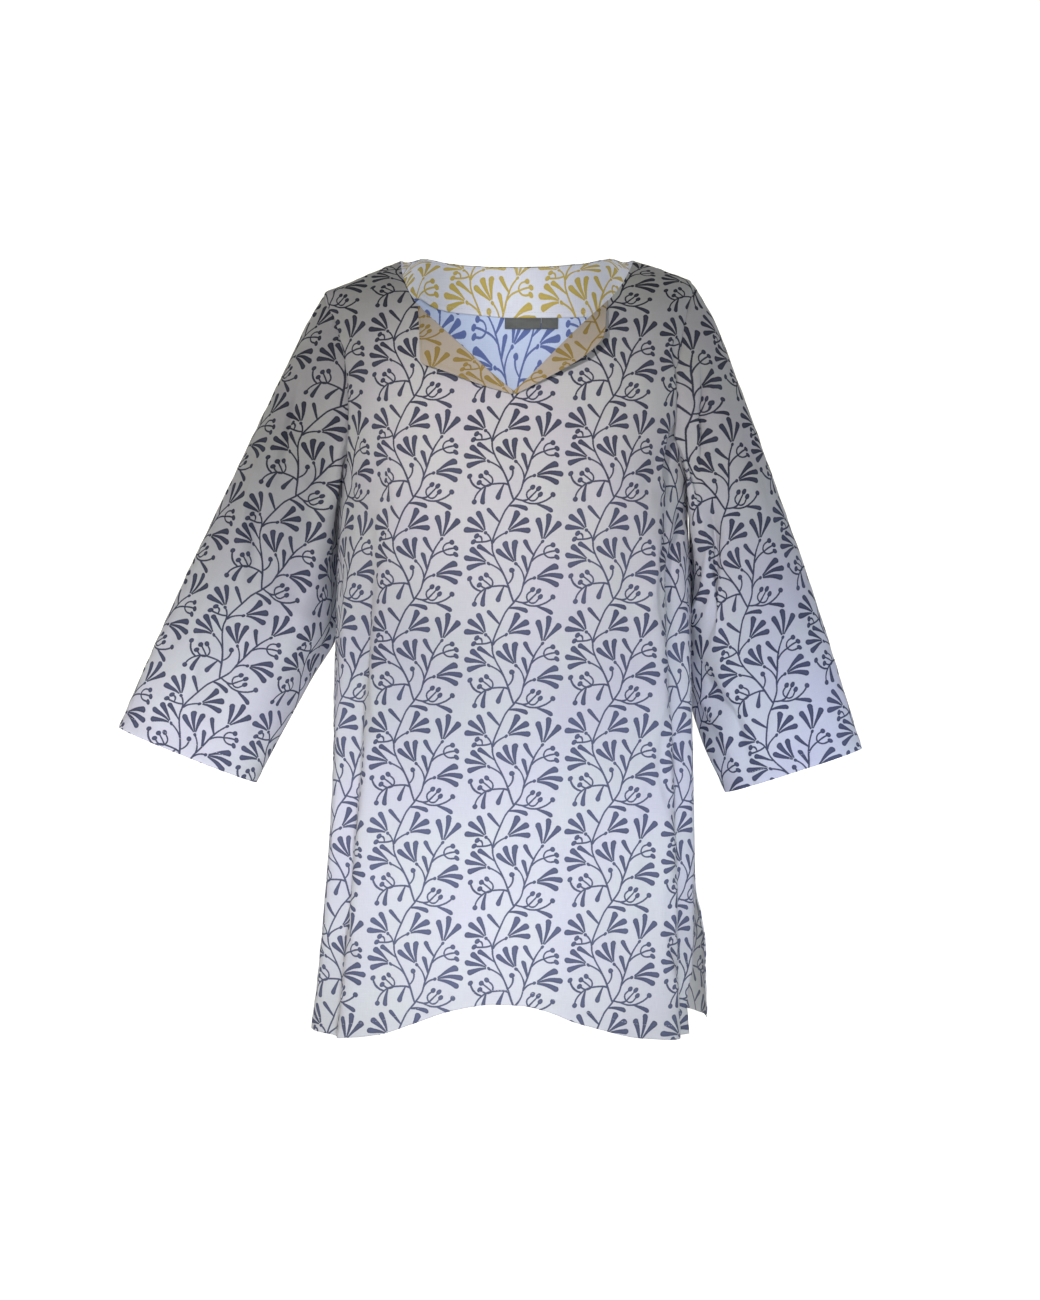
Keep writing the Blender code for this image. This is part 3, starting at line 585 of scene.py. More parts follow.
def panelRows(panel):
    sizes = panels[panel]
    under = sizes["side"][0][0]
    last = sizes["side"][-1][0]
    upper = np.arange(under * sizes["upperSteps"] + 1) / sizes["upperSteps"]
    lower = under + np.arange(1, (last - under) * sizes["lowerSteps"] + 1) / sizes["lowerSteps"]
    return np.concatenate((upper, lower))


def stitchHalves(panel):
    sizes = panels[panel]
    stations = panelRows(panel)
    halves = [halfGrid(panel, side, stations) for side in signs]
    rows, columns = halves[0][0].shape
    index = np.arange(2 * rows * columns).reshape(2, rows, columns)
    onCentre = stations >= sizes["centre"][0][0] - 1e-6
    index[1, onCentre, 0] = index[0, onCentre, 0]
    angle = np.concatenate([half[0].reshape(-1) for half in halves])
    height = np.concatenate([half[1].reshape(-1) for half in halves])
    quads = []
    for half in range(2):
        own = index[half]
        corners = np.stack((own[:-1, :-1], own[:-1, 1:], own[1:, 1:], own[1:, :-1]), axis=-1)
        quads.append(corners.reshape(-1, 4) if half == 0 else corners.reshape(-1, 4)[:, ::-1])
    used, quads = np.unique(np.concatenate(quads), return_inverse=True)
    return angle[used], height[used], quads.reshape(-1, 4), halves, stations


def panelEdges(panel, halves, stations):  # the cut edges, by what is done to each
    sizes = panels[panel]
    under = sizes["side"][0][0]
    edges = {"seam": [], "hem": []}
    for angle, height in halves:
        edges["seam"].append((angle[0], height[0]))
        side = (stations <= under) | (height[:, -1] > vents["top"])
        edges["seam"].append((angle[side, -1], height[side, -1]))
        vent = (stations > under) & (height[:, -1] <= vents["top"] + 4.0)
        edges["hem"].append((angle[vent, -1], height[vent, -1]))
    right, left = halves
    edges["hem"].append((np.concatenate((right[0][-1][::-1], left[0][-1][1:])),
                         np.concatenate((right[1][-1][::-1], left[1][-1][1:]))))
    return {key: [bodySurface(panel, *line)[0] for line in lines] for key, lines in edges.items()}


def edgePush(points, edges, seed):
    push = np.zeros(len(points))
    for line in edges["seam"]:
        push = push + seamPush(*nearLine(points, line), seed)
    hemDistance = np.full(len(points), 1e9)
    hemAlong = np.zeros(len(points))
    for line in edges["hem"]:
        distance, along = nearLine(points, line)
        hemAlong = np.where(distance < hemDistance, along, hemAlong)
        hemDistance = np.minimum(distance, hemDistance)
    push = push + hemPush(hemDistance, hemAlong, seed)
    return push, hemBand(hemDistance)


def sewnPush(points, height, place, edges, seed):  # all the small relief of a sewn panel
    push, band = edgePush(points, edges, seed)
    return push + rumple(place, seed) * (1.0 - 0.5 * band) * ramp(0.0, 12.0, -height + 12.0), band


def paintedInkLightOf(points):  # painted light: how much paler and bluer the print's ink is painted down the cloth, standing for the light that falls brighter lower down
    return ramp(*clothColours["paintedInkLightHeights"], -points[..., 2])


def bodyCloth(name, panel, seed):
    sizes = panels[panel]
    angle, height, quads, halves, stations = stitchHalves(panel)
    place = clothPlace(clothTables[panel], angle, height)
    outer, normals = bodySurface(panel, angle, height)
    edges = panelEdges(panel, halves, stations)
    push, band = sewnPush(outer, height, place, edges, seed)
    shift = np.array((0.0, seams["gap"] / 2.0 if sizes["behind"] else -seams["gap"] / 2.0, 0.0))
    outer = outer + shift + push[:, None] * normals
    inner = outer - (bodyForm["clothThickness"] + hems["extra"] * band)[:, None] * normals
    return makeShell(name, outer, inner, quads, place, paintedInkLight=paintedInkLightOf(outer)), edges


# sleeves: the line of each section from the outer silhouette to the inner one, the half
# depth before and behind it, and how far the inner side is tucked back behind the body, at
# even shares of the sleeve's length
sectionNames = ("outer", "outerHeight", "inner", "innerHeight", "depth", "tuck")
sleeveForm = {
    "square": 2.6,
    "tuckStart": 0.5,
    # the sleeves take half of the painted light that pales the ink lower down
    "capFade": 0.5,
    "paintedInkLightShare": 0.5,
    "underarmTurn": (185.0, 242.0),
    "rings": 150,
    "ringSpread": 1.08,
    "right": {
        "sections": (
            (190, -35, 175, -243, 62, 0),
            (205, -60, 177, -257, 65, 3),
            (233, -118, 177.5, -281, 58, 14),
            (262, -178, 176, -306, 50, 28),
            (291, -238, 175, -336, 44, 38),
            (322, -302, 179, -373, 40, 38),
            (350, -362, 204, -418, 37, 22),
            (375, -418, 232, -470, 34, 8),
            (395, -465, 258, -520, 31, 0),
        ),
        "axis": (-0.43, -0.903),
        "folds": (
            (126, 138, 0.03, 0.20, 0.60, 0.90, 5.0, 22),
            (102, 108, 0.03, 0.22, 0.55, 0.85, -5.0, 20),
            (58, 66, 0.15, 0.45, 0.75, 1.10, 3.5, 24),
            (-108, -118, 0.05, 0.30, 0.60, 0.95, -5.0, 24),
            (-56, -62, 0.20, 0.50, 0.80, 1.10, 4.0, 24),
        ),
        "creases": (
            (158, 70, 96, 190, -1.7, 11), (150, 110, 80, 260, 1.4, 12), (160, 150, 104, 330, -1.3, 11),
            (140, 60, 70, 120, 1.2, 11), (30, 60, 44, 210, -0.9, 16), (84, 200, 66, 420, 0.9, 16),
            (120, 300, 112, 440, -1.0, 12), (20, 260, 60, 330, -0.7, 12), (60, 350, 140, 372, 0.6, 10),
            (-150, 80, -90, 230, -1.5, 12), (-120, 200, -70, 380, 1.2, 14), (-40, 100, -54, 320, -0.9, 16),
            (-90, 330, -100, 450, 1.0, 12), (-20, 300, -60, 400, -0.7, 12),
            (46, 55, 71, 144, -4.0, 9), (71, 144, 78, 240, -4.0, 9), (78, 240, 90, 370, -3.2, 9),
            (54, 130, 62, 240, 2.2, 9), (62, 240, 76, 370, 2.0, 9),
        ),
        "flat": (0.46, 0.52),
        "area": 0.155,
    },
    "left": {
        "sections": (
            (182, -23, 173, -244, 60, 0),
            (200, -55, 176, -259, 64, 3),
            (224, -118, 176.8, -290, 57, 14),
            (244, -175, 176.4, -325, 50, 34),
            (264, -232, 175, -362, 44, 46),
            (285, -290, 174, -400, 40, 48),
            (306, -352, 178, -438, 37, 42),
            (326, -415, 190, -482, 34, 20),
            (348, -486, 212, -530, 31, 0),
        ),
        "axis": (0.338, -0.941),
        "folds": (
            (128, 142, 0.03, 0.20, 0.60, 0.90, 6.0, 22),
            (104, 112, 0.03, 0.20, 0.50, 0.80, -5.0, 20),
            (62, 60, 0.10, 0.40, 0.70, 1.10, 3.0, 24),
            (-110, -120, 0.05, 0.30, 0.60, 0.95, -5.0, 24),
            (-60, -66, 0.20, 0.50, 0.80, 1.10, 4.0, 24),
        ),
        "creases": (
            (156, 60, 100, 170, -1.7, 11), (150, 100, 86, 240, 1.5, 12), (158, 160, 110, 320, -1.3, 11),
            (136, 44, 60, 100, 1.2, 11), (34, 70, 50, 220, -0.9, 16), (90, 210, 74, 430, 1.0, 16),
            (122, 290, 116, 430, -1.1, 12), (24, 250, 66, 320, -0.7, 12), (60, 372, 134, 350, 0.6, 10),
            (-150, 90, -96, 240, -1.5, 12), (-118, 190, -76, 370, 1.2, 14), (-42, 110, -50, 330, -0.9, 16),
            (-92, 320, -104, 450, 1.0, 12), (-24, 310, -64, 390, -0.7, 12),
            (60, 25, 100, 85, -6.0, 10), (100, 85, 122, 200, -8.5, 10), (108, 55, 140, 175, 4.0, 9),
            (122, 180, 126, 350, -7.0, 9), (140, 160, 142, 340, 3.5, 9), (165, 30, 168, 170, 3.5, 14),
        ),
        "flat": (0.46, 0.53),
        "area": 0.155,
    },
}


def armholeLoop(side):  # from the shoulder down the front and up the back
    points, normals = [], []
    for panel in ("front", "back"):
        steps = panels[panel]["armhole"][-1][0] * panels[panel]["upperSteps"]
        rows = np.arange(steps + 1) / panels[panel]["upperSteps"]
        place, normal = bodySurface(panel, *outerEdge(panel, side, rows))
        keep = slice(None) if panel == "front" else slice(-2, 0, -1)
        points.append(place[keep])
        normals.append(normal[keep])
    return np.concatenate(points), np.concatenate(normals)


def section(side, share, psi):
    table = sleeveForm[side]["sections"]
    sign = signs[side]
    stations = np.linspace(0.0, 1.0, len(table))

    def size(name):
        return smooth(stations, column(table, sectionNames, name), share)

    outer = np.stack((sign * size("outer"), size("outerHeight")), axis=-1)
    inner = np.stack((sign * size("inner"), size("innerHeight")), axis=-1)
    power = 2.0 / sleeveForm["square"]
    along = np.sign(np.cos(psi)) * np.abs(np.cos(psi)) ** power
    front = np.sign(np.sin(psi)) * np.abs(np.sin(psi)) ** power
    flat = (outer + inner) / 2.0 + (outer - inner) / 2.0 * along[..., None]
    depth = size("tuck") * ramp(sleeveForm["tuckStart"], 1.0, -along) - size("depth") * front
    return np.stack((flat[..., 0], depth, flat[..., 1]), axis=-1)


def tubeNormals(points):
    around = np.roll(points, -1, axis=1) - np.roll(points, 1, axis=1)
    down = np.gradient(points, axis=0)
    normals = unit(np.cross(around, down))
    middle = points.mean(axis=1, keepdims=True)
    return normals * np.sign(np.sum(normals * (points - middle), axis=-1).mean())


def sleeveCloth(name, side, seed):
    loop, loopNormals = armholeLoop(side)
    tangent = unit(np.roll(loop, -1, axis=0) - np.roll(loop, 1, axis=0))
    intoHole = unit(np.cross(loopNormals, tangent))
    intoHole = intoHole * np.sign(np.sum(intoHole * (loop.mean(axis=0) - loop), axis=1).mean())
    turn = (ramp(*sleeveForm["underarmTurn"], -loop[:, 2]) * math.pi / 2.0)[:, None]
    start = loop + seams["gap"] * (intoHole + np.sin(turn) * loopNormals)
    startNormals = unit(np.cos(turn) * loopNormals - np.sin(turn) * intoHole)

    zero = np.zeros(len(loop))
    top = section(side, zero, zero)[0]
    bottom = section(side, zero, zero + math.pi)[0]
    spine = (top - bottom) / 2.0
    rise = (start - (top + bottom) / 2.0) @ spine / (spine @ spine)
    firstDepth = sleeveForm[side]["sections"][0][sectionNames.index("depth")]
    psi = np.arctan2(-start[:, 1] / firstDepth, rise)
    departure = start - section(side, zero, psi)
    shares = np.linspace(0.0, 1.0, sleeveForm["rings"] + 1) ** sleeveForm["ringSpread"]
    share, around = np.meshgrid(shares, psi, indexing="ij")
    points = section(side, share, around)
    points = points + (1.0 - ramp(0.0, sleeveForm["capFade"], share))[..., None] * departure[None]
    points[0] = start
    down = np.cumsum(np.linalg.norm(np.diff(points, axis=0, prepend=points[:1]), axis=2), axis=0)
    folds = foldDepth(sleeveForm[side]["folds"], np.degrees(around), share, lambda fold: share)
    folds = folds + creaseDepth(sleeveForm[side]["creases"], np.degrees(around), down) * ramp(0, 20, down)
    points = points + folds[..., None] * tubeNormals(points)
    points[0] = start
    normals = tubeNormals(points)
    blend = ramp(0.0, 9.0, down)[..., None]
    normals = unit(startNormals[None] * (1.0 - blend) + normals * blend)

    # the cloth's map opens along the underarm
    under = int(np.argmin(loop[:, 2]))
    order = np.concatenate((np.arange(under, len(loop)), np.arange(under + 1)))
    opened = points[:, order]
    ax, az = sleeveForm[side]["axis"]
    sideways = -opened[..., 0] * az + opened[..., 2] * ax
    steps = np.hypot(np.diff(sideways, axis=1), np.diff(opened[..., 1], axis=1))
    arc = np.concatenate((np.zeros((len(shares), 1)), np.cumsum(steps, axis=1)), axis=1)
    front = int(np.argmin(np.abs(np.degrees(psi[order]) - 90.0)))
    u = (arc - arc[:, front:front + 1]) * -signs[side]
    v = -(opened[..., 0] * ax + opened[..., 2] * az)
    place = np.stack((u, v), axis=-1).reshape(-1, 2)

    fromCuff = np.diff(points[::-1], axis=0, prepend=points[-1:])
    cuffDown = np.cumsum(np.linalg.norm(fromCuff, axis=2), axis=0)[::-1]
    push = seamPush(down, lengths(loop)[None] + 0.0 * down, seed)
    push = push + hemPush(cuffDown, lengths(points[-1])[None] + 0.0 * down, seed)
    band = hemBand(cuffDown)
    underPlace = rumple(place, seed + 1.0).reshape(len(shares), -1)
    small = np.zeros_like(down)
    small[:, order[:-1]] = underPlace[:, :-1]
    edgeQuiet = np.minimum(np.abs(np.arange(len(loop)) - under) / 6.0, 1.0)[None]
    push = push + small * ramp(0.0, 25.0, down) * edgeQuiet * (1.0 - 0.5 * band)
    outer = points + push[..., None] * normals
    inner = outer - (bodyForm["clothThickness"] + hems["extra"] * band)[..., None] * normals

    wide = gridQuads(len(shares), len(order))
    narrow = (wide // len(order)) * len(loop) + order[wide % len(order)]
    piece = makeShell(name, outer.reshape(-1, 3), inner.reshape(-1, 3), narrow, place, wide,
                      paintedInkLight=sleeveForm["paintedInkLightShare"] * paintedInkLightOf(outer).reshape(-1))
    return piece, outer, normals, cuffDown


# facings: the lapels turned out along the neckline, and what stays inside
lapelForm = {
    "names": ("row", "across", "height", "stand"),
    "right": (
        (6, -92.5, -54.5, 0.4),
        (7, -90.5, -84, 1.2),
        (8, -89, -107, 2.6),
        (9, -72, -114.5, 3.4),
        (10, -53, -122, 3.6),
        (11, -34, -129, 3.0),
        (12, -15, -134.5, 1.0),
        (13, -1.5, -138.5, 0.5),
    ),
    "left": (
        (6, 90.5, -49.5, 1.0),
        (7, 87.5, -64, 6.0),
        (8, 85, -84, 11.0),
        (9, 73, -99, 10.0),
        (10, 59, -109, 8.0),
        (11, 42, -118.5, 5.5),
        (12, 22, -128.5, 2.0),
        (13, 2, -138.5, 0.5),
    ),
    "layerGap": 0.5,
    "thickness": 1.0,
    "rollRadius": 1.0,
    "insideWidth": 11.0,
    "rowsPerStep": 12,
    "steps": 44,
    "stepSpread": 1.15,
    "wave": 0.5,
    "tuckRows": 6,
    "tuckGap": 0.25,
    "tuckThickness": 0.5,
    "rollRows": 9,
    "rollTurns": (-70.0, 60.0),
    "rollLift": 0.9,
    "rollSpread": 5.0,
    "stitchInset": 5.0,
    "stitchFrom": 12.0,
    "stitchPull": 0.35,
    "pullWidth": 1.5,
}


def lapelCloth(name, side):
    sign = signs[side]
    table = lapelForm[side]
    stations = column(table, lapelForm["names"], "row")
    first, last = stations[0], stations[-1]
    rows = np.linspace(first, last, int((last - first) * lapelForm["rowsPerStep"]) + 1)
    hingeAngle, hingeHeight = innerEdge("front", side, rows)
    hinge, normal = bodySurface("front", hingeAngle, hingeHeight)
    freeAcross, freeHeight, stand = (readTable(table, lapelForm["names"], "row", key, rows)
                                     for key in ("across", "height", "stand"))
    tangent = unit(np.gradient(hinge, axis=0))
    opening = unit(np.cross(normal, tangent))
    outwards = opening @ np.array((-sign, 0.0, 0.4)) < 0
    opening = opening * np.where(outwards, -1.0, 1.0)[:, None]
    radius = lapelForm["rollRadius"]
    width = np.hypot(freeAcross - hinge[:, 0], freeHeight - hingeHeight)
    over, under = [], []
    thick = lapelForm["thickness"]

    # inside the front, under the roll
    for back in np.linspace(lapelForm["insideWidth"], 1.0, lapelForm["tuckRows"]):
        spot = hinge - opening * back * np.minimum(1.0, width / 14.0 + 0.15)[:, None]
        flatSpot, flatNormal = bodySurface("front", angleAcross(spot[:, 0], spot[:, 2], False), spot[:, 2])
        far = bodyForm["clothThickness"] + lapelForm["tuckGap"]
        under.append(flatSpot - far * flatNormal)
        over.append(flatSpot - (far + lapelForm["tuckThickness"]) * flatNormal)
    middle = hinge - 0.35 * normal
    for turn in np.linspace(*lapelForm["rollTurns"], lapelForm["rollRows"]):
        lean = math.cos(math.radians(turn)) * opening + math.sin(math.radians(turn)) * normal
        under.append(middle + (radius - 0.4) * lean)
        over.append(middle + radius * lean)
    for share in (np.arange(lapelForm["steps"] + 1) / lapelForm["steps"]) ** lapelForm["stepSpread"]:
        across = hinge[:, 0] + (freeAcross - hinge[:, 0]) * share
        height = hingeHeight + (freeHeight - hingeHeight) * share
        spot, spotNormal = bodySurface("front", angleAcross(across, height, False), height)
        out = share * width
        lift = lapelForm["layerGap"] + stand * share ** 1.5
        roll = np.exp(-(out / lapelForm["rollSpread"]) ** 2)
        lift = lift + lapelForm["rollLift"] * roll
        lift = lift + lapelForm["wave"] * share * (1.0 + np.sin(rows * 2.6 + out * 0.09 + sign))
        edgeDown = np.minimum(width - out, 30.0)
        pull = np.exp(-((edgeDown - lapelForm["stitchInset"]) / lapelForm["pullWidth"]) ** 2)
        lift = lift - lapelForm["stitchPull"] * pull * ramp(0.0, lapelForm["stitchFrom"], width)
        grown = thick * (0.75 + 0.25 * ramp(6.0, 4.0, edgeDown))
        under.append(spot + lift[:, None] * spotNormal)
        over.append(spot + (lift + grown)[:, None] * spotNormal)
    over = np.stack(over)
    under = np.stack(under)
    out = np.cumsum(np.linalg.norm(np.diff(over, axis=0, prepend=over[:1]), axis=2), axis=0)
    place = np.stack((over[..., 0] * 1.02, over[..., 2] * 1.04 + over[..., 1] * 0.3), axis=-1)
    inside = lapelForm["tuckRows"] + lapelForm["rollRows"]
    back = (out[:inside] - out[inside:inside + 1])[..., None]
    place[:inside] = place[inside:inside + 1] + back * np.array((0.8 * sign, 0.5))
    quads = gridQuads(*over.shape[:2])
    piece = makeShell(name, over.reshape(-1, 3), under.reshape(-1, 3), quads, place.reshape(-1, 2))
    return piece, over[inside:], (over - under)[inside:]


facingForm = {
    "edge": (
        (-153, -17), (-143, -28), (-129, -43), (-110, -66), (-76, -85), (-35, -88.5), (0, -90),
        (36, -90), (80, -89.5), (107, -72), (128, -46), (149, -27), (161, -14.5),
    ),
    "spans": 150,
    "steps": 44,
    "gapTop": 0.1,
    "gapFoot": 1.0,
    "topStitchRow": 2,
    "stitchShare": 0.93,
    "thickness": 0.7,
}
innerFacingForm = {"halfWidth": 50.0, "top": -141.0, "foot": -196.0, "spans": 50, "steps": 28,
                   "gap": 0.6, "thickness": 0.6}
labelForm = {
    "label_main": {"across": 9.0, "width": 37.0, "drop": 8.6},
    "label_size": {"across": 36.5, "width": 17.0, "drop": 8.6},
    "top": -88.8,
    "gap": 0.3,
    "thickness": 0.5,
    "lift": 0.6,
}


def insideLayer(name, panel, angle, height, gap, thickness, seed, push=0.0):
    place, normal = bodySurface(panel, angle, height)
    rows, columns = angle.shape
    flat = clothPlace(clothTables[panel], angle.reshape(-1), height.reshape(-1))
    flat = flat * np.array((-1.0, 1.0))
    far = bodyForm["clothThickness"] + gap + push
    near = place - np.broadcast_to(far, angle.shape)[..., None] * normal
    seen = near - thickness * normal
    seen = seen - rumple(flat, seed).reshape(rows, columns, 1) * 0.6 * normal
    piece = makeShell(name, seen.reshape(-1, 3), near.reshape(-1, 3), gridQuads(rows, columns), flat)
    return piece, seen, -normal


def backAngle(across, height):  # runs on past the centre back, so that no line jumps there
    angle = angleAcross(across, height, True)
    return np.where(angle > 0, angle - 360.0, angle)


def backFacingCloth(name):
    rows = np.linspace(0.0, 1.0, facingForm["spans"] // 2 + 1) * backPanel["neck"][-1][0]
    rightAngle, rightHeight = innerEdge("back", "right", rows)
    leftAngle, leftHeight = innerEdge("back", "left", rows)
    rightAngle[-1] = -180.0
    topAngle = np.concatenate((rightAngle, leftAngle[-2::-1] - 360.0))
    topHeight = np.concatenate((rightHeight, leftHeight[-2::-1]))
    span = np.linspace(0.0, 1.0, len(topAngle))
    edge = np.array(facingForm["edge"], dtype=float)
    edgeSpan = np.linspace(0.0, 1.0, len(edge))
    across = smooth(edgeSpan, edge[:, 0], span)
    lowHeight = smooth(edgeSpan, edge[:, 1], span)
    lowAngle = backAngle(across, lowHeight)
    share = np.linspace(0.0, 1.0, facingForm["steps"] + 1)[:, None]
    angle = topAngle + (lowAngle - topAngle) * share
    height = topHeight + (lowHeight - topHeight) * share
    gap = facingForm["gapTop"] + (facingForm["gapFoot"] - facingForm["gapTop"]) * np.sqrt(share)
    edgePull = 0.25 * np.exp(-((share - facingForm["stitchShare"]) / 0.02) ** 2)
    return insideLayer(name, "back", angle, height, gap - edgePull, facingForm["thickness"],
                       seeds["backFacing"])


def frontFacingCloth(name):
    sizes = innerFacingForm
    across = np.linspace(-sizes["halfWidth"], sizes["halfWidth"], sizes["spans"] + 1)
    height = np.linspace(sizes["top"], sizes["foot"], sizes["steps"] + 1)
    height, across = np.meshgrid(height, across, indexing="ij")
    return insideLayer(name, "front", angleAcross(across, height, False), height,
                       sizes["gap"], sizes["thickness"], seeds["frontFacing"])


def labelTape(name):
    sizes = labelForm[name]
    across = np.linspace(-0.5, 0.5, 31) * sizes["width"] + sizes["across"]
    height = np.linspace(labelForm["top"], labelForm["top"] - sizes["drop"], 13)
    height, across = np.meshgrid(height, across, indexing="ij")
    drop = (labelForm["top"] - height) / sizes["drop"]
    lean = labelForm["lift"] * drop ** 1.5 * (1.0 + 0.5 * np.sin(across / 7.0))
    return insideLayer(name + "_tape", "back", backAngle(across, height), height,
                       labelForm["gap"], labelForm["thickness"], seeds["label"], lean)


# the stitches, as one tree that lays small threads along a line
stitchForm = {"pitch": 3.0, "length": 2.3, "thickness": 0.34, "lift": 0.12, "seed": 7}


def plug(tree, value, socket):
    if isinstance(value, (int, float, tuple)):
        socket.default_value = value
    else:
        tree.links.new(value, socket)


def addNode(tree, kind, given=None, **settings):  # given holds a value or an output for each input
    node = tree.nodes.new(kind)
    for key, value in settings.items():
        setattr(node, key, value)
    for key, value in (given or {}).items():
        plug(tree, value, node.inputs[key])
    return node


def newGroup(name, kind, inputs, outputs):  # each socket's name and kind, and its value if it has one
    tree = bpy.data.node_groups.new(name, kind)
    for way, sockets in (("INPUT", inputs), ("OUTPUT", outputs)):
        for socketName, socketKind, *value in sockets:
            socket = tree.interface.new_socket(socketName, in_out=way, socket_type="NodeSocket" + socketKind)
            if value:
                socket.default_value = value[0]
    return tree, tree.nodes.new("NodeGroupInput").outputs, tree.nodes.new("NodeGroupOutput").inputs


def buildStitchTree():
    tree, given, result = newGroup("stitchRun", "GeometryNodeTree", (
        ("Line", "Geometry"), ("Pitch", "Float"), ("Length", "Float"), ("Thickness", "Float"),
        ("Seed", "Int"), ("Thread", "Material")), (("Stitches", "Geometry"),))
    points = addNode(tree, "GeometryNodeCurveToPoints",
                     {"Curve": given["Line"], "Length": given["Pitch"]}, mode="LENGTH")
    ball = addNode(tree, "GeometryNodeMeshUVSphere", {"Segments": 6, "Rings": 5, "Radius": 0.5})
    size = addNode(tree, "ShaderNodeCombineXYZ",
                   {0: given["Thickness"], 1: given["Thickness"], 2: given["Length"]})
    shape = addNode(tree, "GeometryNodeTransform", {
        "Geometry": ball.outputs["Mesh"], "Scale": size.outputs[0]})
    uneven = addNode(tree, "FunctionNodeRandomValue", {
        0: (0.85, 0.85, 0.82), 1: (1.12, 1.12, 1.1), "Seed": given["Seed"]}, data_type="FLOAT_VECTOR")
    placed = addNode(tree, "GeometryNodeInstanceOnPoints", {
        "Points": points.outputs["Points"], "Instance": shape.outputs["Geometry"],
        "Rotation": points.outputs["Rotation"], "Scale": uneven.outputs[0]})
    real = addNode(tree, "GeometryNodeRealizeInstances", {"Geometry": placed.outputs["Instances"]})
    smoothed = addNode(tree, "GeometryNodeSetShadeSmooth", {"Geometry": real.outputs["Geometry"]})
    painted = addNode(tree, "GeometryNodeSetMaterial", {
        "Geometry": smoothed.outputs["Geometry"], "Material": given["Thread"]})
    tree.links.new(painted.outputs["Geometry"], result["Stitches"])
    return tree


def sewStitches(name, lines, thread):  # lines of points in millimetres, on the cloth
    curve = bpy.data.curves.new(name + "_line", "CURVE")
    curve.dimensions = "3D"
    for line in lines:
        spline = curve.splines.new("POLY")
        spline.points.add(len(line) - 1)
        spots = np.concatenate((line * mm, np.ones((len(line), 1))), axis=1)
        spline.points.foreach_set("co", spots.reshape(-1))
    path = addObject(name + "_line", curve)
    sewing = path.modifiers.new("stitches", "NODES")
    sewing.node_group = stitchTree
    wanted = {"Pitch": stitchForm["pitch"] * mm, "Length": stitchForm["length"] * mm,
              "Thickness": stitchForm["thickness"] * mm, "Seed": stitchForm["seed"], "Thread": thread}
    for item in stitchTree.interface.items_tree:
        if item.in_out == "INPUT" and item.name in wanted:
            sewing[item.identifier] = wanted[item.name]
    bpy.context.view_layer.update()
    evaluated = path.evaluated_get(bpy.context.evaluated_depsgraph_get())
    mesh = bpy.data.meshes.new_from_object(evaluated)
    bpy.data.objects.remove(path, do_unlink=True)
    mesh.name = name
    return keep(addObject(name, mesh), thread)


def surfaceLine(panel, angle, height, edges, seed):  # a line of stitches on the sewn cloth
    points, normals = bodySurface(panel, angle, height)
    push = sewnPush(points, height, clothPlace(clothTables[panel], angle, height), edges, seed)[0]
    return points + (push + stitchForm["lift"])[:, None] * normals


# shader building blocks
def calc(tree, operation, first, second=0.0, third=0.0, clamp=False):
    return addNode(tree, "ShaderNodeMath", {0: first, 1: second, 2: third},
                   operation=operation, use_clamp=clamp).outputs[0]


def frameOf(tree, x, y, originX, originY, turn):  # coordinates across and along a motif's axis
    c = math.cos(math.radians(turn))
    s = math.sin(math.radians(turn))
    along = calc(tree, "MULTIPLY_ADD", y, s, -(originX * c + originY * s))
    along = calc(tree, "MULTIPLY_ADD", x, c, along)
    across = calc(tree, "MULTIPLY_ADD", y, c, originX * s - originY * c)
    across = calc(tree, "MULTIPLY_ADD", x, -s, across)
    return across, along


def squares(tree, first, second):
    return calc(tree, "MULTIPLY_ADD", second, second, calc(tree, "MULTIPLY", first, first))


def strokeOf(tree, across, along, length, thin, thick):  # a stroke that widens to a round end
    share = calc(tree, "MULTIPLY", along, 1.0 / length, clamp=True)
    rest = calc(tree, "MULTIPLY_ADD", share, -length, along)
    distance = calc(tree, "SQRT", squares(tree, across, rest))
    distance = calc(tree, "MULTIPLY_ADD", share, thin - thick, distance)
    return calc(tree, "SUBTRACT", distance, thin)


def dotOf(tree, x, y, radius):
    return calc(tree, "SUBTRACT", calc(tree, "SQRT", squares(tree, x, y)), radius)


def noiseOf(tree, place, **sizes):
    return addNode(tree, "ShaderNodeTexNoise", {"Vector": place, **sizes}).outputs["Fac"]


def nearer(tree, first, second):
    return second if first is None else calc(tree, "MINIMUM", first, second)
